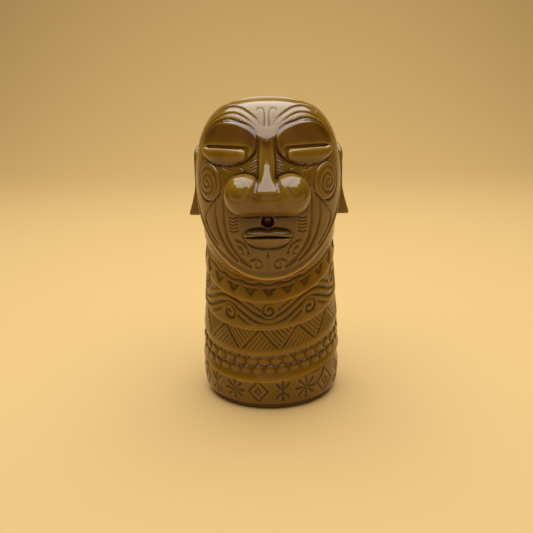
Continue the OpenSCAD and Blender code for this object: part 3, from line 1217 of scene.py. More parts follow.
    def nose(self, p: Array) -> Array:
        """Distance of points outside the nose: two lobes joined by a bar, the tip and the bridge.

        Args:
            p: Points in mm.

        Returns:
            Distances in mm.
        """
        bar_drop, bar_less, tip_drop = 1.6, 1.1, 2.0
        seam_x, seam_lean, seam_bend, seam_foot = 6.2, 0.35, 4.0, 1.0
        tip_y = self.head.front(self.nose_z)
        folded = np.stack([np.abs(p[:, 0]), p[:, 1], p[:, 2]], axis=1)
        q = folded - np.array([self.nose_half_w - self.nostril_r, tip_y, self.nose_z])
        lobe = np.linalg.norm(q, axis=1) - self.nostril_r + self.curl(q)
        from_bar = np.stack([np.maximum(q[:, 0], 0.0), q[:, 1], q[:, 2] + bar_drop], axis=1)
        bar = np.linalg.norm(from_bar, axis=1) - (self.nostril_r - bar_less)
        tip = Egg((0.0, tip_y, self.nose_z - tip_drop), self.tip_half).distance(p)
        bulb = smooth_min(smooth_min(lobe, bar, 1.2), tip, 2.0)
        # A seam on each side parts the tip from the lobes and closes in on the bridge.
        seam = folded[:, 0] - seam_x + seam_lean * np.maximum(q[:, 2] - seam_bend, 0.0)
        bulb = bulb + groove(seam, half_width=1.4, depth=0.7) * rise(q[:, 2] - seam_foot, 4.0)
        return self.seated(smooth_min(bulb, self.bridge(p, tip_y), 1.6), p)

    def bridge(self, p: Array, tip_y: float) -> Array:
        """Distance of points outside the bridge: a flat-fronted bar, and a ramp out to the nose's tip.

        Args:
            p: Points in mm.
            tip_y: Place of the nose's middle in mm.

        Returns:
            Distances in mm.
        """
        # The ramp's foot lies a little behind the front of the tip.
        foot_behind, foot_up, end_up = 1.8, 3.4, 2.2
        corners = [(self.head.front(self.bridge_top_z) - self.brow_proud, self.bridge_top_z),
                   (self.head.front(self.bend_z) - self.bridge_proud, self.bend_z),
                   (tip_y - self.tip_half[1] + foot_behind, self.nose_z + foot_up)]
        fronts = []
        for (y0, z0), (y1, z1) in zip(corners[:-1], corners[1:]):
            length = math.hypot(y1 - y0, z1 - z0)
            fronts.append(((p[:, 2] - z0) * (y0 - y1) - (p[:, 1] - y0) * (z0 - z1)) / length)
        aside = np.abs(p[:, 0])
        bar = smooth_max(fronts[0], aside - self.bridge_half_w, 1.8)
        narrow, wide = self.ramp_half
        down = rise(self.bend_z - p[:, 2], self.bend_z - self.nose_z)
        ramp = smooth_max(fronts[1], aside - narrow - (wide - narrow) * down, 2.0)
        bridge = smooth_max(smooth_min(bar, ramp, 1.4), self.nose_z + end_up - p[:, 2], 1.5)
        return smooth_max(bridge, p[:, 2] - self.bridge_top_z, 1.0)

    def cheek_disc(self, p: Array, side: Side) -> Array:
        """Distance of points outside a cheek disc with its spiral.

        Args:
            p: Points in mm.
            side: Side of the face.

        Returns:
            Distances in mm.
        """
        border, deepest = 0.7, 12.0
        q = self.head.egg(side.value * self.cheek_turn, self.cheek_z, 1.0, 1.0, 1.0, 0.0).local(p)
        edge = np.hypot(q[:, 0], q[:, 2]) - self.cheek_r
        cut = spiral_groove(q[:, 0] * side.value, q[:, 2], pitch=3.3, reach=self.cheek_r - border,
                            half_width=1.5, depth=0.22)
        disc = self.seated(smooth_max(self.head.face(p) - self.cheek_proud + cut, edge, 2.2), p)
        # This keeps the other side of the head out.
        return np.maximum(disc, q[:, 1] - deepest)

    def set_on(self, p: Array) -> Array:
        """Distance of points outside everything that is set on the face, in mm."""
        pairs = [form(p, side) for side in Side for form in (self.eye, self.cheek_disc)]
        return np.minimum.reduce([self.nose(p), self.upper_lip(p), self.lower_lip(p), *pairs])

    def cuts(self, p: Array) -> Array:
        """Depth of everything cut or pressed into the face near its surface.

        Args:
            p: Points in mm.

        Returns:
            Depths in mm.
        """
        brow_half_w, brow_h, border_up, fade_h = 6.5, 3.0, 2.2, 1.2
        inside = self.ridge.above(p)
        # No seam is pressed in where the bridge runs out of the brow.
        brow = rise(self.bridge_top_z - brow_h - p[:, 2], brow_h)
        seat = groove(self.set_on(p), half_width=0.9, depth=0.35)
        seat = seat * np.where(np.abs(p[:, 0]) < brow_half_w, brow, 1.0)
        border = groove(inside - border_up, half_width=1.5, depth=0.55)
        return np.maximum.reduce([self.carving.at(p), seat, border]) * rise(inside, fade_h)

    def shell(self, p: Array) -> Array:
        """Distance of points outside the face with its carving.

        Args:
            p: Points in mm.

        Returns:
            Distances in mm.
        """
        head = self.head
        # The brow ends in a point that laps over the top of the bridge.
        spread, edge_w, fade_h = 2.0, 1.2, 8.0
        aside = (np.abs(p[:, 0]) - spread * (p[:, 2] - self.brow_tip_z)) / math.hypot(1.0, spread)
        lap = np.clip(0.5 - aside / edge_w, 0.0, 1.0) * rise(self.brow_tip_z + fade_h - p[:, 2], fade_h)
        form = head.face(p) - self.brow_lift * lap
        # Below the ridge of the jaw, the face turns in under itself.
        turn_in, softness, deepest = 0.45, 0.12, 4.0
        below = -self.ridge.above(p)
        cut = np.minimum(turn_in * (below + np.sqrt(below**2 + softness)), deepest)
        # The finer cuts matter only near the surface.
        near = 1.3
        close = np.abs(form) < near
        if np.any(close):
            cut[close] += self.cuts(p[close])
        outer = smooth_max(smooth_min(form + cut, head.bead(p) + 0.2, 2.5), -head.jaw.above(p), 0.9)
        pit = Egg((0.0, head.front(self.pit_z), self.pit_z), (self.pit_r, self.pit_depth, self.pit_r))
        return smooth_max(head.opened(outer, p), -pit.distance(p), 1.3)

    def painted_shade_and_highlight(self, p: Array) -> Array:
        """Painted shade round the pieces, in the pit and under the nose, and a lighter line on the jaw's
        ridge, partly thin glaze and partly painted highlight.

        Args:
            p: Points on the face in mm.

        Returns:
            Added depth per point: painted shade above 0, thin glaze and painted highlight below 0.
        """
        # Painted shade round every piece set on the face.
        glaze = 0.55 * bell(self.set_on(p), 0.9)
        # Painted shade in the pit under the nose.
        in_pit = np.hypot(p[:, 0], p[:, 2] - self.pit_z) < self.pit_r + 1.5
        glaze += np.where(in_pit, rise(-self.head.face(p), 1.5), 0.0)
        # Painted shadow under the nose.
        glaze += 0.45 * rise(self.nose_z - 5.0 - p[:, 2], 4.0) * bell(np.maximum(self.nose(p), 0.0), 3.5)
        # The jaw's ridge is lighter: thin glaze, and a painted highlight.
        return glaze - 0.7 * bell(self.ridge.above(p) - 0.2, 0.7)

    def build(self) -> None:
        """Makes the face and every piece set on it."""
        points, quads = surface_net(self.shell, (-42, -46, 71), (42, 30, 171), self.step)
        # The face's colour takes painted shade round its pieces, in the pit and under the nose, and a painted
        # highlight on the jaw's ridge.
        piece = make_piece("face_shell", points, quads, self.finish, extra=self.painted_shade_and_highlight(points))
        skin, rim_clear = 0.3, 4.0
        hidden = (self.head.hollow(points) > -skin) & (self.head.rim.above(points) < -rim_clear)
        thin_out(piece, hidden, self.keep_hidden)
        place(piece, Slot.GLAZE, "face_shell")
        self.build_raised("nose", self.nose, (-24, -58, 111), (24, -34, 155), self.nose_step, foot=0.35)
        self.build_raised("upper_lip", self.upper_lip, (-15, -49, 98), (15, -36, 108), self.fine)
        self.build_raised("lower_lip", self.lower_lip, (-15, -49, 92), (15, -36, 103), self.fine)
        # The last number is painted shade over the whole piece: the upper lids are painted darker, and the
        # cheek discs lighter against the painted shade at their edges.
        pairs = (("upper_eyelid", self.upper_lid, (1, 42), (-47, -10), (132, 162), 0.3),
                 ("lower_eyelid", self.lower_lid, (1, 42), (-47, -10), (132, 162), 0.0),
                 ("cheek_disc", self.cheek_disc, (18, 44), (-44, -10), (114, 141), -0.4))
        for side in Side:
            for name, form, x, (y0, y1), (z0, z1), pool_and_shade in pairs:
                x0, x1 = sorted(side.value * reach for reach in x)
                self.build_raised(f"{name}_{side.name.lower()}", partial(form, side=side),
                                  (x0, y0, z0), (x1, y1, z1), self.fine, pool_and_shade)

    def build_raised(self, name: str, distance: Distance, low: tuple, high: tuple, step: float,
                     pool_and_shade: float = 0.0, foot: float = 0.8) -> None:
        """Makes one piece that is set on the face.

        Args:
            name: Name of the piece and of the node that it stands for.
            distance: Its distance function.
            low: Lowest corner of its box in mm.
            high: Highest corner in mm.
            step: Cell size in mm.
            pool_and_shade: Painted shade added all over it, lightening it where below 0.
            foot: How far up from the face the painted shade round its foot reaches, in mm.
        """
        points, quads = surface_net(distance, low, high, step)
        # Painted shade where the piece meets the face, plus the painted shade given for the whole piece.
        seat = pool_and_shade + 0.6 * bell(self.head.face(points), foot)
        place(make_piece(name, points, quads, self.raised, extra=seat), Slot.GLAZE_THIN, name)


@dataclass
class Skull:
    """The back of the head, with the ears. Sizes are in mm.

    Attributes:
        head: Turned forms of the head.
        finish: Its finish.
        step, ear_step: Cell sizes of the meshes of the skull and the ears.
        ear_top_z, lobe_z: Heights of an ear's top and of its lobe's lower edge.
        ear_y, ear_r, lobe_w: Place of its front edge, radius of its round top and width of its lobe.
        ear_reach, lobe_reach: How far it and its lobe reach out from the axis.
        flare_h: Height over which it widens to the lobe.
        bowl_r, channel_r: Radius of the bowl in its upper part, and half width of the channel below.
        hollow_edge, hollow_depth: Width of the slope into both, and their depth.
    """

    head: Head
    finish: Material
    step: float = 0.8
    ear_step: float = 0.5
    ear_top_z: float = 144.3
    lobe_z: float = 103.8
    ear_y: float = -1.9
    ear_r: float = 8.9
    lobe_w: float = 10.8
    ear_reach: float = 41.5
    lobe_reach: float = 45.75
    flare_h: float = 17.0
    bowl_r: float = 5.0
    channel_r: float = 2.0
    hollow_edge: float = 2.4
    hollow_depth: float = 1.5

    def shell(self, p: Array) -> Array:
        """Distance of points outside the back of the head, in mm."""
        form = smooth_max(self.head.skull(p), -self.head.seam.above(p), 1.6)
        return self.head.opened(smooth_max(form, self.head.jaw.above(p), 0.4), p)

    def ear(self, p: Array, side: Side) -> Array:
        """Distance of points outside an ear.

        Args:
            p: Points in mm.
            side: Side of the head.

        Returns:
            Distances in mm.
        """
        bend_h, bend = 6.0, 0.09
        bowl_drop, bowl_share = 3.0, 0.86
        channel_drop, channel_half_h, channel_shift = 18.0, 8.0, 1.2
        up = p[:, 2] - self.ear_top_z
        y = p[:, 1] - self.ear_y
        flare = rise(self.lobe_z + self.flare_h - p[:, 2], self.flare_h) ** 1.4
        out = p[:, 0] * side.value - self.ear_reach - (self.lobe_reach - self.ear_reach) * flare
        # The top bends back towards the head.
        out = out + bend * np.maximum(up + bend_h, 0.0) ** 2
        length = self.ear_top_z - self.lobe_z
        round_top = np.hypot(y - self.ear_r, up + self.ear_r) - self.ear_r
        slant = (2 * self.ear_r - self.lobe_w) / (length - self.ear_r)
        back = (y - 2 * self.ear_r - slant * (up + self.ear_r)) / math.hypot(1.0, slant)
        stem = smooth_max(np.maximum(-y, back), np.maximum(up + self.ear_r, -length - up), 1.5)
        outline = smooth_min(round_top, stem, 0.8)
        bowl = np.hypot((y - self.ear_r) / bowl_share, up + self.ear_r + bowl_drop) - self.bowl_r
        past_channel = np.maximum(np.abs(up + channel_drop) - channel_half_h, 0.0)
        channel = np.hypot(y - self.ear_r + channel_shift, past_channel) - self.channel_r
        hollow = groove(np.maximum(np.minimum(bowl, channel), 0.0), self.hollow_edge, self.hollow_depth)
        ear = smooth_max(out + hollow, outline, 1.6)
        # It is cut off a little way inside the head.
        sink = 0.6
        inner = np.minimum(self.head.skull(p), np.maximum(self.head.face(p), -self.head.jaw.above(p)))
        return np.maximum(ear, -inner - sink)

    def build(self) -> None:
        """Makes the back of the head and both ears."""
        points, quads = surface_net(self.shell, (-40, -41, 74), (40, 41, 166), self.step)
        # Painted shade along the seam where the skull meets the face.
        seam = 0.6 * bell(self.head.jaw.above(points), 1.2)
        place(make_piece("skull_shell", points, quads, self.finish, 2.0, seam), Slot.GLAZE, "skull_shell")
        for side in Side:
            name = f"ear_{side.name.lower()}"
            x0, x1 = sorted((side.value * 28, side.value * 48))
            ear = partial(self.ear, side=side)
            points, quads = surface_net(ear, (x0, -6, 101), (x1, 20, 149), self.ear_step)
            # Painted shade where the ear meets the head.
            seat = 0.8 * bell(self.head.skull(points), 0.9)
            place(make_piece(name, points, quads, self.finish, 1.4, seat), Slot.GLAZE, name)


@dataclass
class Collars:
    """The five overlapping neck bands with their carved patterns. Sizes are in mm.

    Attributes:
        head: Forms of the head and the well.
        finish: Their finish.
        lips, lip_r: Plane and radius of each lower lip, from the top band down.
        lip_proud, lip_run: How far a band's face lies behind its lip, and over what height it widens to it.
        lip_round, bare: Rounding of a lip's lower edge, and height of the plain strip over it.
        carve_share: Share of a pattern's depth that is cut.
        pool_and_shade: Glaze that pools in a pattern for each mm of its depth.
        base_r, belly_r, belly_z: Radius of the bottom band's foot, its largest radius and the height of that.
        foot_h, foot_round, foot_bare: Height of its lower edge, its rounding and the plain strip over it.
        star_h: Greatest height of its pattern.
        teeth_count, wave_count, triangle_count, star_count: Marks round bands 1, 2, 3 and 5.
        around, down: Points round a band and rows of them down it.
        angle, c, s: Direction of each point round a band in radians, with its cosine and sine.
    """

    head: Head
    finish: Material
    lips: tuple[Plane, ...] = (Plane(82.6, 28.0, 3.5), Plane(58.8, 16.0, 3.5), Plane(43.8, 15.0, 3.5),
                               Plane(25.4, 10.5, 3.5))
    lip_r: tuple[float, ...] = (37.15, 38.12, 39.09, 40.06)
    lip_proud: float = 1.7
    lip_run: tuple[float, ...] = (22.0, 22.0, 22.0, 5.0)
    lip_round: float = 0.6
    bare: float = 1.6
    carve_share: float = 0.7
    pool_and_shade: float = 0.36
    base_r: float = 37.6
    belly_r: float = 40.0
    belly_z: float = 16.0
    foot_h: float = 3.0
    foot_round: float = 0.9
    foot_bare: float = 2.0
    star_h: float = 15.0
    teeth_count: int = 22
    wave_count: int = 5
    triangle_count: int = 11
    star_count: int = 18
    around: int = 720
    down: int = 44
    angle: Array = field(init=False)
    c: Array = field(init=False)
    s: Array = field(init=False)

    def __post_init__(self) -> None:
        """Sets the directions of the points round a band."""
        self.angle = np.arange(self.around) * 2 * math.pi / self.around
        self.c, self.s = np.cos(self.angle), np.sin(self.angle)

    def face_r(self, i: int) -> float:
        """Radius of a band's face, in mm."""
        return self.lip_r[i] - self.lip_proud

    def ring(self, r: Array | float, level: Array | float) -> Array:
        """Points round a band at radii and heights in mm."""
        return np.stack([r * self.c, r * self.s, np.broadcast_to(level, self.c.shape)], axis=1)

    def relief(self, number: int, share: Array, height: Array) -> Array:
        """Depth of a slanted band's pattern.

        Args:
            number: Band, 1 at the top.
            share: Place down the band, 0 at its top and 1 at its lip.
            height: Height of the band there in mm.

        Returns:
            Depths in mm.
        """
        patterns = {1: self.teeth, 2: self.scrolls, 3: self.triangles}
        if number not in patterns:
            return np.zeros_like(height)
        up = (1.0 - share) * height - self.bare
        fade = rise(up, 3.0) * rise(share * height, 1.5)
        fade = fade**2 * (3.0 - 2.0 * fade)
        return patterns[number](self.angle * self.face_r(number - 1), up, height - self.bare) * fade

    def teeth(self, along: Array, up: Array, tall: Array) -> Array:
        """A row of pointed teeth under a wavy line, with rings above it where the band is tall.

        Args:
            along: Distance round the band in mm.
            up: Height above the plain strip in mm.
            tall: Height of the field in mm.

        Returns:
            Depths in mm.
        """
        tooth_h, wave_up, ring_up, ring_r, ring_field = 6.0, 8.6, 14.0, 2.8, 17.0
        pitch = 2 * math.pi * self.face_r(0) / self.teeth_count
        x = from_nearest(along, pitch)
        # Each notch hangs down between two teeth, to a point at the lip.
        notch = 0.5 * pitch - np.abs(x) - 0.36 * pitch * rise(up, tooth_h)
        depth = 0.85 * np.clip(0.45 - notch / 1.4, 0.0, 1.0) * rise(tooth_h + 0.6 - up, 0.9)
        wave = groove(up - wave_up - 0.5 * np.cos(2 * math.pi * x / pitch), half_width=0.9, depth=0.55)
        ring = groove(np.hypot(x, up - ring_up) - ring_r, half_width=1.1, depth=0.6)
        ring = ring * rise(tall - ring_field, 3.0)
        return np.maximum.reduce([depth, wave, ring])

    def scrolls(self, along: Array, up: Array, tall: Array) -> Array:
        """A running wave of double lines, with a curl in each of its bends.

        Args:
            along: Distance round the band in mm.
            up: Height above the plain strip in mm.
            tall: Height of the field in mm.

        Returns:
            Depths in mm.
        """
        swing, inner_off, outer_off = 0.30, 1.9, 5.2
        pitch = 2 * math.pi * self.face_r(1) / self.wave_count
        phase = 2 * math.pi * along / pitch
        steep = np.hypot(1.0, tall * swing * np.cos(phase) * 2 * math.pi / pitch)
        off = np.abs(up - tall * (0.5 + swing * np.sin(phase))) / steep
        depth = np.maximum(groove(off - inner_off, half_width=1.4, depth=0.9),
                           groove(off - outer_off, half_width=1.2, depth=0.6))
        curl_r = np.minimum(0.34 * tall, 7.5)
        for shift, level, hand in ((0.25, 0.36, 1), (0.75, 0.64, -1)):
            x, y = from_nearest(along - shift * pitch, pitch), up - tall * level
            curl = spiral_groove(x * hand, y, pitch=3.8, reach=curl_r, half_width=1.4, depth=0.85)
            depth = np.where(np.hypot(x, y) < curl_r, curl, depth)
        return depth

    def triangles(self, along: Array, up: Array, tall: Array) -> Array:
        """A zigzag of triangles, hatched to and fro.

        Args:
            along: Distance round the band in mm.
            up: Height above the plain strip in mm.
            tall: Height of the field in mm.

        Returns:
            Depths in mm.
        """
        line_half, hatch_gap = 1.1, 2.1
        pitch = 2 * math.pi * self.face_r(2) / self.triangle_count
        x = along / pitch - np.floor(along / pitch)
        ridge = tall * np.abs(2.0 * x - 1.0)
        slope = 2.0 * tall / pitch
        off = np.abs(up - ridge) / np.hypot(1.0, slope)
        hand = np.where(up > ridge, 1.0, -1.0)
        lean = (up + hand * slope * (x - 0.5) * pitch) / np.hypot(1.0, slope)
        hatch = groove(from_nearest(lean, hatch_gap), half_width=0.75, depth=0.42)
        return np.maximum(groove(off, line_half, depth=0.75), hatch * rise(off - line_half, 0.5))

    def stars(self, along: Array, up: Array, tall: Array) -> Array:
        """Eight-armed stars, lozenges and branches, taking turns.

        Args:
            along: Distance round the band in mm.
            up: Height above the plain strip in mm.
            tall: Height of the field in mm.

        Returns:
            Depths in mm.
        """
        eighth, line_half, line_depth, twig_reach = math.pi / 4, 1.1, 0.75, 4.2
        pitch = 2 * math.pi * self.belly_r / self.star_count
        turn = np.round(along / pitch)
        reach = 0.5 * tall
        x, y = from_nearest(along, pitch), up - reach
        radius = np.hypot(x, y)
        arm = radius * np.abs(np.sin(from_nearest(np.arctan2(y, x), eighth)))
        star = groove(arm, line_half, line_depth) * rise(reach - radius, 0.8)
        diamond = np.abs(x) * 1.2 + np.abs(y)
        lozenge = np.maximum(groove(diamond - reach, half_width=1.4, depth=line_depth),
                             groove(diamond - 0.3 * reach, half_width=1.3, depth=0.65))
        stem = groove(np.hypot(x, np.maximum(np.abs(y) - reach, 0.0)), line_half, line_depth)
        twigs = groove((np.abs(y) - 0.9 * np.abs(x) - 0.12 * reach) / 1.35, line_half, line_depth)
        branch = np.maximum(stem, twigs * rise(twig_reach - np.abs(x), 0.7))
        return np.select([turn % 3 == 0, turn % 3 == 1], [star, lozenge], branch)

    def rolled(self, r: float, level: Array | float, edge: float, start: float, steps: int) -> list[Array]:
        """Rings of points round the rolled lower edge of a band.

        Args:
            r: Radius of the band there in mm.
            level: Height of its lower edge in mm.
            edge: Radius of the rolling in mm.
            start: Where the rolling starts, as an angle in radians.
            steps: Number of rings.

        Returns:
            The rings, from the outside in.
        """
        return [self.ring(r - edge * (1.0 - math.cos(a)), level + edge * (1.0 - math.sin(a)))
                for a in np.linspace(start, math.pi / 2, steps)]

    def band(self, number: int) -> tuple[Array, Array, Array]:
        """Mesh of one of the four slanted bands.

        Args:
            number: Band, 1 at the top.

        Returns:
            Points in mm, quads, and glaze that pools in the pattern.
        """
        i = number - 1
        lip, face = self.lip_r[i], self.face_r(i)
        top = self.head.seam if i == 0 else self.lips[i - 1]
        ceiling = top.level(face * self.c, face * self.s)
        floor = self.lips[i].level(lip * self.c, lip * self.s)
        height = ceiling - floor
        rows, pools = [], []
        for share in np.linspace(0.0, 1.0, self.down, endpoint=False):
            level = floor + self.lip_round + (1.0 - share) * (height - self.lip_round)
            place_down = (ceiling - level) / height
            to_lip = (1.0 - place_down) * height
            widened = 1.0 - (to_lip - self.lip_round) / np.minimum(self.lip_run[i], height)
            relief = self.relief(number, place_down, height)
            r = face + (lip - face) * np.clip(widened, 0.0, 1.0) - self.carve_share * relief
            rows.append(self.ring(r, level))
            pools.append(self.pool_and_shade * relief - 0.6 * bell(to_lip, 1.3))
        rows += self.rolled(lip, floor, self.lip_round, 0.0, 6)
        return self.close(rows, pools, self.lips[i], top)

    def base(self) -> tuple[Array, Array, Array]:
        """Mesh of the bottom band.

        Returns:
            Points in mm, quads, and glaze that pools in the pattern.
        """
        top, face = self.lips[3], self.face_r(3)
        ceiling = top.level(face * self.c, face * self.s)
        rows, pools = [], []
        for share in np.linspace(0.0, 1.0, self.down + 8):
            level = ceiling + share * (self.foot_h + self.foot_round - ceiling)
            below = rise(self.belly_z - level, self.belly_z - self.foot_h)
            above = rise(level - self.belly_z, top.height - self.belly_z)
            lower = self.base_r + (self.belly_r - self.base_r) * np.sqrt(1.0 - below**2)
            upper = face + (self.belly_r - face) * (1 + np.cos(math.pi * above)) / 2
            up = level - self.foot_h - self.foot_bare
            tall = np.minimum(ceiling - self.foot_h - self.foot_bare, self.star_h)
            fade = rise(up, 0.8) * rise(ceiling - level, 1.5)
            relief = self.stars(self.angle * self.belly_r, up, tall) * fade
            r = np.where(level > self.belly_z, upper, lower) - self.carve_share * relief
            rows.append(self.ring(r, level))
            pools.append(self.pool_and_shade * relief)
        rows += self.rolled(self.base_r + 0.15, self.foot_h, self.foot_round, 0.3, 5)
        return self.close(rows, pools, Plane(self.foot_h, 0.0), top)

    def at_wall(self, plane: Plane) -> Array:
        """Heights at which a plane meets the well's wall.

        Args:
            plane: The plane.

        Returns:
            Heights round the band in mm.
        """
        r = np.full(self.around, self.head.well_points[0][0])
        for _ in range(8):
            r = self.head.well_radius(plane.level(r * self.c, r * self.s))
        return plane.level(r * self.c, r * self.s)

    def close(self, rows: list[Array], pools: list[Array], low: Plane,
              top: Plane) -> tuple[Array, Array, Array]:
        """Closes a band with its underside, the wall of the well and its top.

        Args:
            rows: Rings of points down its outside.
            pools: Glaze that pools in the first of those rings.
            low: Plane of its underside.
            top: Plane of its top.

        Returns:
            Points in mm, quads, and glaze that pools at each point.
        """
        wall_rows = 12
        bottom, ceiling = self.at_wall(low), self.at_wall(top)
        for share in np.linspace(0.0, 1.0, wall_rows):
            level = bottom + share * (ceiling - bottom)
            rows.append(self.ring(self.head.well_radius(level), level))
        points, quads = lathe_mesh(rows)
        pool_and_shade = np.zeros(len(points))
        pool_and_shade[:len(pools) * self.around] = np.concatenate(pools)
        return points, quads, pool_and_shade

    def build(self) -> None:
        """Makes the five bands."""
        for number in range(1, 6):
            points, quads, pool_and_shade = self.band(number) if number < 5 else self.base()
            name = f"collar_{number}"
            place(make_piece(name, points, quads, self.finish, 1.5, pool_and_shade), Slot.GLAZE, name)


def lathe_mesh(rows: list[Array]) -> tuple[Array, Array]:
    """Joins rings of points into a closed ring-shaped mesh.

    Args:
        rows: Rings with the same number of points, in order round the section.

    Returns:
        Points and quads.
    """
    n, count = len(rows[0]), len(rows)
    here = np.arange(n)
    after = (here + 1) % n
    quads = []
    for i in range(count):
        j = (i + 1) % count
        quads.append(np.stack([i * n + here, j * n + here, j * n + after, i * n + after], axis=1))
    return np.concatenate(rows), np.concatenate(quads)


def turned_bar(r0: float, z0: float, r1: float, z1: float, edge: float) -> tuple[Array, Array]:
    """Turns a bar with rounded edges about the upright axis.

    Args:
        r0: Inner radius in mm.
        z0: Lower height in mm.
        r1: Outer radius in mm.
        z1: Upper height in mm.
        edge: Radius of its edges in mm.

    Returns:
        Points in mm and quads.
    """
    around, per_edge = 180, 7
    angle = np.arange(around) * 2 * math.pi / around
    rows = []
    # The section goes down on the outside and up on the inside.
    for r, z, start in ((r1 - edge, z1 - edge, 90), (r1 - edge, z0 + edge, 0),
                        (r0 + edge, z0 + edge, -90), (r0 + edge, z1 - edge, -180)):
        for a in np.radians(np.linspace(start, start - 90, per_edge)):
            out, up = r + edge * math.cos(a), z + edge * math.sin(a)
            rows.append(np.stack([out * np.cos(angle), out * np.sin(angle), np.full(around, up)], axis=1))
    return lathe_mesh(rows)


@dataclass
class Foot:
    """The bare foot ring and the floor of the well. Sizes are in mm.

    Attributes:
        clay, glaze: Finishes of the ring and of the floor.
        foot_r, foot_w, foot_h, foot_edge: Outer radius, width, height and rounding of the ring.
        floor_r, floor_t: Radius and thickness of the floor.
    """

    clay: Material
    glaze: Material
    foot_r: float = 36.2
    foot_w: float = 5.0
    foot_h: float = 3.0
    foot_edge: float = 0.5
    floor_r: float = 34.0
    floor_t: float = 5.0

    def floor(self, p: Array) -> Array:
        """Distance of points outside the floor, in mm."""
        up = np.abs(p[:, 2] - self.foot_h - self.floor_t / 2) - self.floor_t / 2
        return smooth_max(np.hypot(p[:, 0], p[:, 1]) - self.floor_r, up, 0.2)

    def build(self) -> None:
        """Makes the ring and the floor."""
        points, quads = turned_bar(self.foot_r - self.foot_w, 0.0, self.foot_r, self.foot_h, self.foot_edge)
        place(make_piece("foot_ring", points, quads, self.clay), Slot.BARE_CLAY, "foot_ring")
        wide, middle = self.floor_r + 1.0, self.foot_h + self.floor_t / 2
        points, quads = surface_net(self.floor, (-wide, -wide, middle - self.floor_t),
                                    (wide, wide, middle + self.floor_t), 1.0)
        place(make_piece("floor_disc", points, quads, self.glaze), Slot.GLAZE, "floor_disc")


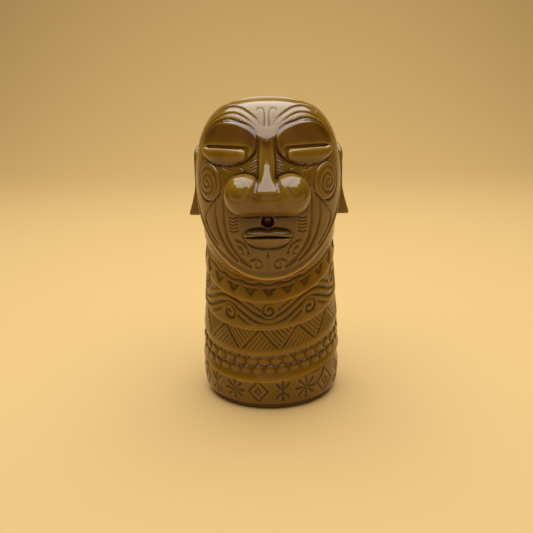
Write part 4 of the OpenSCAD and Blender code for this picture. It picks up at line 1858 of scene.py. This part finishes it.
@dataclass
class Rings:
    """Pieces that follow a ring, made by geometry nodes: the pellets and the rolled rim. Sizes are in mm.

    Attributes:
        head, collars: Forms of the head, and the neck bands.
        pellet_finish, rim_finish: Finishes of the pellets and of the rim.
        pellet_count: Pellets in a row.
        pellet_rows: Height of each row above the fourth band's lip.
        pellet_half: Half sizes of a pellet: outwards, along the row and upwards.
        pellet_proud: How far the pellets stand out.
    """

    head: Head
    collars: Collars
    pellet_finish: Material
    rim_finish: Material
    pellet_count: int = 36
    pellet_rows: tuple[float, float] = (4.9, 10.8)
    pellet_half: tuple[float, float, float] = (2.8, 4.0, 3.7)
    pellet_proud: float = 1.2

    def start_tree(self, name: str, sockets: dict[str, str]) -> tuple[NodeTree, Node]:
        """Starts a node tree that makes a piece.

        Args:
            name: Name of the tree.
            sockets: Name to kind of each input besides the material.

        Returns:
            The tree and the node that hands on its inputs.
        """
        tree = bpy.data.node_groups.new(name, "GeometryNodeTree")
        for label, kind in (sockets | {"Material": "Material"}).items():
            tree.interface.new_socket(label, in_out="INPUT", socket_type="NodeSocket" + kind)
        tree.interface.new_socket("Geometry", in_out="OUTPUT", socket_type="NodeSocketGeometry")
        return tree, add_node(tree, "NodeGroupInput")

    def end_tree(self, tree: NodeTree, shape: Node, given: Node) -> None:
        """Ends a node tree with its shape made real and dressed.

        Args:
            tree: The tree.
            shape: Node that makes the shape.
            given: Node that hands on the tree's inputs.
        """
        real = add_node(tree, "GeometryNodeRealizeInstances", {"Geometry": shape.outputs[0]})
        dressed = add_node(tree, "GeometryNodeSetMaterial", {
            "Geometry": real.outputs[0], "Material": given.outputs["Material"]})
        add_node(tree, "NodeGroupOutput", {"Geometry": dressed.outputs[0]})

    def pellet_tree(self) -> NodeTree:
        """Node tree that sets two rows of pellets round a slanted ring.

        Returns:
            The tree.
        """
        tree, given_node = self.start_tree("pellet_rows", {
            "Count": "Int", "Radius": "Float", "Height": "Float", "Row Gap": "Float", "Slope X": "Float",
            "Slope Y": "Float", "Half Size": "Vector"})
        given = given_node.outputs
        twice = add_node(tree, "ShaderNodeMath", {0: given["Count"], 1: 2.0}, operation="MULTIPLY")
        cloud = add_node(tree, "GeometryNodePoints", {"Count": twice.outputs[0]})
        # Pellets take turns between the rows, half a step on each time.
        index = add_node(tree, "GeometryNodeInputIndex").outputs[0]
        row = add_node(tree, "ShaderNodeMath", {0: index, 1: 2.0}, operation="MODULO").outputs[0]
        step = add_node(tree, "ShaderNodeMath", {0: math.pi, 1: given["Count"]}, operation="DIVIDE")
        turned = add_node(tree, "ShaderNodeMath", {0: index, 1: step.outputs[0]}, operation="MULTIPLY")
        angle = turned.outputs[0]
        across = []
        for part in ("COSINE", "SINE"):
            share = add_node(tree, "ShaderNodeMath", {0: angle}, operation=part).outputs[0]
            across.append(add_node(tree, "ShaderNodeMath", {0: share, 1: given["Radius"]},
                                   operation="MULTIPLY").outputs[0])
        level = given["Height"]
        for way, slope in zip((row, *across), ("Row Gap", "Slope X", "Slope Y")):
            level = add_node(tree, "ShaderNodeMath", {0: way, 1: given[slope], 2: level},
                             operation="MULTIPLY_ADD").outputs[0]
        spot = add_node(tree, "ShaderNodeCombineXYZ", {"X": across[0], "Y": across[1], "Z": level})
        set_out = add_node(tree, "GeometryNodeSetPosition", {
            "Geometry": cloud.outputs[0], "Position": spot.outputs[0]})
        block = add_node(tree, "GeometryNodeMeshCube", {
            "Size": (2.0, 2.0, 2.0), "Vertices X": 8, "Vertices Y": 8, "Vertices Z": 8})
        # A pellet is a cube whose points are drawn most of the way to a ball.
        corner = add_node(tree, "GeometryNodeInputPosition").outputs[0]
        ball = add_node(tree, "ShaderNodeVectorMath", {0: corner}, operation="NORMALIZE").outputs[0]
        drawn = add_node(tree, "ShaderNodeMix", {0: 0.9, 4: corner, 5: ball}, data_type="VECTOR").outputs[1]
        pebble = add_node(tree, "GeometryNodeSetPosition", {
            "Geometry": block.outputs["Mesh"], "Position": drawn})
        shaped = add_node(tree, "GeometryNodeTransform", {
            "Geometry": pebble.outputs[0], "Scale": given["Half Size"]})
        facing = add_node(tree, "ShaderNodeCombineXYZ", {"Z": angle})
        size = add_node(tree, "FunctionNodeRandomValue", {
            "Min": (0.96, 0.93, 0.94), "Max": (1.0, 1.05, 1.05), "Seed": SEED}, data_type="FLOAT_VECTOR")
        placed = add_node(tree, "GeometryNodeInstanceOnPoints", {
            "Points": set_out.outputs[0], "Instance": shaped.outputs[0], "Rotation": facing.outputs[0],
            "Scale": size.outputs[0]})
        self.end_tree(tree, placed, given_node)
        return tree

    def rim_tree(self) -> NodeTree:
        """Node tree that sweeps the rim's section round the mouth.

        Returns:
            The tree.
        """
        tree, given_node = self.start_tree("rolled_rim", {
            "Radius": "Float", "Bead": "Float", "Centre": "Vector", "Turn": "Rotation"})
        given = given_node.outputs
        ring = add_node(tree, "GeometryNodeCurvePrimitiveCircle", {
            "Resolution": 160, "Radius": given["Radius"]})
        bead = add_node(tree, "GeometryNodeCurvePrimitiveCircle", {"Resolution": 24, "Radius": given["Bead"]})
        swept = add_node(tree, "GeometryNodeCurveToMesh", {
            "Curve": ring.outputs[0], "Profile Curve": bead.outputs[0]})
        seated = add_node(tree, "GeometryNodeTransform", {
            "Geometry": swept.outputs[0], "Translation": given["Centre"], "Rotation": given["Turn"]})
        self.end_tree(tree, seated, given_node)
        return tree

    def grow(self, name: str, tree: NodeTree, values: dict) -> Object:
        """Runs a node tree and keeps its result as a plain mesh.

        Args:
            name: Name of the piece.
            tree: The tree.
            values: Input name to value.

        Returns:
            The piece.
        """
        carrier = show(name + "_nodes", bpy.data.meshes.new(name + "_nodes"))
        modifier = carrier.modifiers.new("nodes", "NODES")
        modifier.node_group = tree
        for item in tree.interface.items_tree:
            if item.in_out == "INPUT" and item.name in values:
                modifier[item.identifier] = values[item.name]
        mesh = plain_mesh(carrier)
        bpy.data.objects.remove(carrier)
        mesh.name = name
        mesh.shade_smooth()
        return show(name, mesh)

    def build(self) -> None:
        """Makes the pellets and the rim."""
        plane, face = self.collars.lips[3], self.collars.face_r(3)
        right, back = plane.slope
        low, high = self.pellet_rows
        piece = self.grow("pellets", self.pellet_tree(), {
            "Count": self.pellet_count, "Radius": (face + self.pellet_proud - self.pellet_half[0]) * MM,
            "Height": (plane.height + low) * MM, "Row Gap": (high - low) * MM,
            "Slope X": right, "Slope Y": back, "Half Size": tuple(h * MM for h in self.pellet_half),
            "Material": self.pellet_finish})
        places = np.empty(len(piece.data.vertices) * 3)
        piece.data.vertices.foreach_get("co", places)
        out = np.hypot(*places.reshape(-1, 3).T[:2]) / MM - face
        # The glaze pools between the pellets, darkened further with painted shade, and runs thin and lighter
        # over their tops.
        store_depth(piece.data, 0.6 - 0.8 * rise(out, self.pellet_proud) ** 0.7)
        place(piece, Slot.GLAZE_THIN, "pellets")

        head = self.head
        c, s = cos_sin(head.rim_tilt)
        x, y, z = head.rim_centre
        centre = (x, y + head.rim_side_h * s, z + head.rim_side_h * c)
        piece = self.grow("mouth_rim", self.rim_tree(), {
            "Radius": (head.rim_r + head.rim_w / 2) * MM, "Bead": head.rim_w / 2 * MM,
            "Centre": tuple(v * MM for v in centre), "Turn": (-math.radians(head.rim_tilt), 0.0, 0.0),
            "Material": self.rim_finish})
        store_depth(piece.data, np.full(len(piece.data.vertices), -0.35))
        place(piece, Slot.GLAZE_THIN, "mouth_rim")


@dataclass(frozen=True)
class Lamp:
    """One soft lamp.

    Attributes:
        name: Its name.
        at: Its place in metres.
        aim: Point that it faces in metres.
        size: Its width and height in metres.
        power: Its power in watts.
    """

    name: str
    at: tuple[float, float, float]
    aim: tuple[float, float, float]
    size: tuple[float, float]
    power: float

    def build(self) -> None:
        """Adds the lamp to the scene."""
        data = bpy.data.lights.new(self.name, "AREA")
        data.shape = "RECTANGLE"
        data.size, data.size_y = self.size
        data.energy = self.power
        lamp = bpy.data.objects.new(self.name, data)
        lamp.location = self.at
        bpy.context.scene.collection.objects.link(lamp)
        x, y, z = np.array(self.at) - np.array(self.aim)
        lamp.rotation_euler = (math.atan2(math.hypot(x, y), z), 0.0, math.atan2(x, -y))


@dataclass
class Studio:
    """Plain pale floor, soft light and the camera.

    Attributes:
        focal_px, picture_px: Focal length and side of the square picture in pixels.
        camera_y, camera_z: Distance of the camera from the mug's axis and its height in mm.
        pitch, turn, roll: How far the camera looks down, stands to the right and is rolled in degrees.
        axis_px: Place of the mug's axis in the picture.
        floor_colour: Colour of the floor and of the light from all sides.
        floor_half, floor_front: Half width of the floor, and where it starts, in metres.
        floor_back, floor_bend, floor_top: Where it starts to rise, the bend's radius and its top in metres.
        surround: Strength of the light from all sides.
        lamps: The lamps.
    """

    focal_px: float = 740.0
    picture_px: float = 533.0
    camera_y: float = 414.5
    camera_z: float = 189.9
    pitch: float = 15.8
    turn: float = 1.0
    roll: float = -0.9
    axis_px: float = 269.85
    floor_colour: str = "#d6b474"
    floor_half: float = 2.5
    floor_front: float = -3.0
    floor_back: float = 0.75
    floor_bend: float = 0.6
    floor_top: float = 2.0
    surround: float = 0.16
    lamps: tuple[Lamp, ...] = (Lamp("overhead", (0.0, 0.12, 0.85), (0.0, 0.12, 0.15), (1.25, 1.45), 16.5),
                               Lamp("front", (0.0, -1.4, 0.55), (0.0, 0.0, 0.09), (1.3, 0.8), 0.4))

    def floor(self) -> None:
        """Makes the floor and its rising backdrop."""
        section = [(self.floor_front, 0.0)]
        section += [(self.floor_back + self.floor_bend * math.sin(a), self.floor_bend * (1 - math.cos(a)))
                    for a in np.linspace(0, math.pi / 2, 12)]
        section.append((self.floor_back + self.floor_bend, self.floor_top))
        points = [(x, y, z) for y, z in section for x in (-self.floor_half, self.floor_half)]
        quads = [(2 * i, 2 * i + 1, 2 * i + 3, 2 * i + 2) for i in range(len(section) - 1)]
        mesh = bpy.data.meshes.new("floor")
        mesh.from_pydata(points, [], quads)
        mesh.shade_smooth()
        material = bpy.data.materials.new("pale_paper_backdrop")
        material.use_nodes = True
        shader = material.node_tree.nodes["Principled BSDF"]
        shader.inputs["Base Color"].default_value = linear(self.floor_colour)
        shader.inputs["Roughness"].default_value = 0.7
        mesh.materials.append(material)
        floor = show("floor", mesh)

    def lights(self) -> None:
        """Adds the lamps and an even, pale surround."""
        for lamp in self.lamps:
            lamp.build()
        world = bpy.data.worlds.new("studio")
        world.use_nodes = True
        shade = world.node_tree.nodes["Background"]
        shade.inputs["Color"].default_value = linear(self.floor_colour)
        shade.inputs["Strength"].default_value = self.surround
        bpy.context.scene.world = world

    def camera(self) -> None:
        """Sets the camera at the photograph's angle."""
        data = bpy.data.cameras.new("camera")
        data.sensor_fit = "HORIZONTAL"
        data.sensor_width = 36.0
        data.lens = data.sensor_width * self.focal_px / self.picture_px
        data.shift_x = -(self.axis_px - self.picture_px / 2) / self.picture_px
        data.clip_start = 0.01
        camera = bpy.data.objects.new("camera", data)
        c, s = cos_sin(self.turn)
        camera.location = (self.camera_y * MM * s, -self.camera_y * MM * c, self.camera_z * MM)
        aim = mathutils.Euler((math.radians(90 - self.pitch), 0.0, math.radians(self.turn))).to_matrix()
        twist = mathutils.Matrix.Rotation(math.radians(self.roll), 3, "Z")
        camera.rotation_euler = (aim @ twist).to_euler()
        bpy.context.scene.collection.objects.link(camera)
        bpy.context.scene.camera = camera

    def build(self) -> None:
        """Sets up floor, light and camera."""
        bpy.context.scene.view_settings.view_transform = "Standard"
        self.floor()
        self.lights()
        self.camera()


def main() -> None:
    """Builds the mug and the studio."""
    logging.basicConfig(level=logging.INFO, format="%(name)s: %(message)s")
    glaze = Glaze("amber_stoneware_glaze", "#c29446", "#84620e", "#613b03", "#2e1601").make()
    thin = Glaze("amber_glaze_on_raised_clay", "#c29446", "#86640f", "#623c03", "#2e1601").make()
    banded = Glaze("amber_glaze_on_bands", "#c8983f", "#8c6709", "#7a5604", "#3a2202", coat=0.5).make()
    clay = BareClay().make()
    head = Head()
    collars = Collars(head, banded)
    Foot(clay, glaze).build()
    collars.build()
    Rings(head, collars, banded, thin).build()
    Skull(head, glaze).build()
    Face(head, glaze, thin).build()
    Studio().build()


if __name__ == "__main__":
    main()
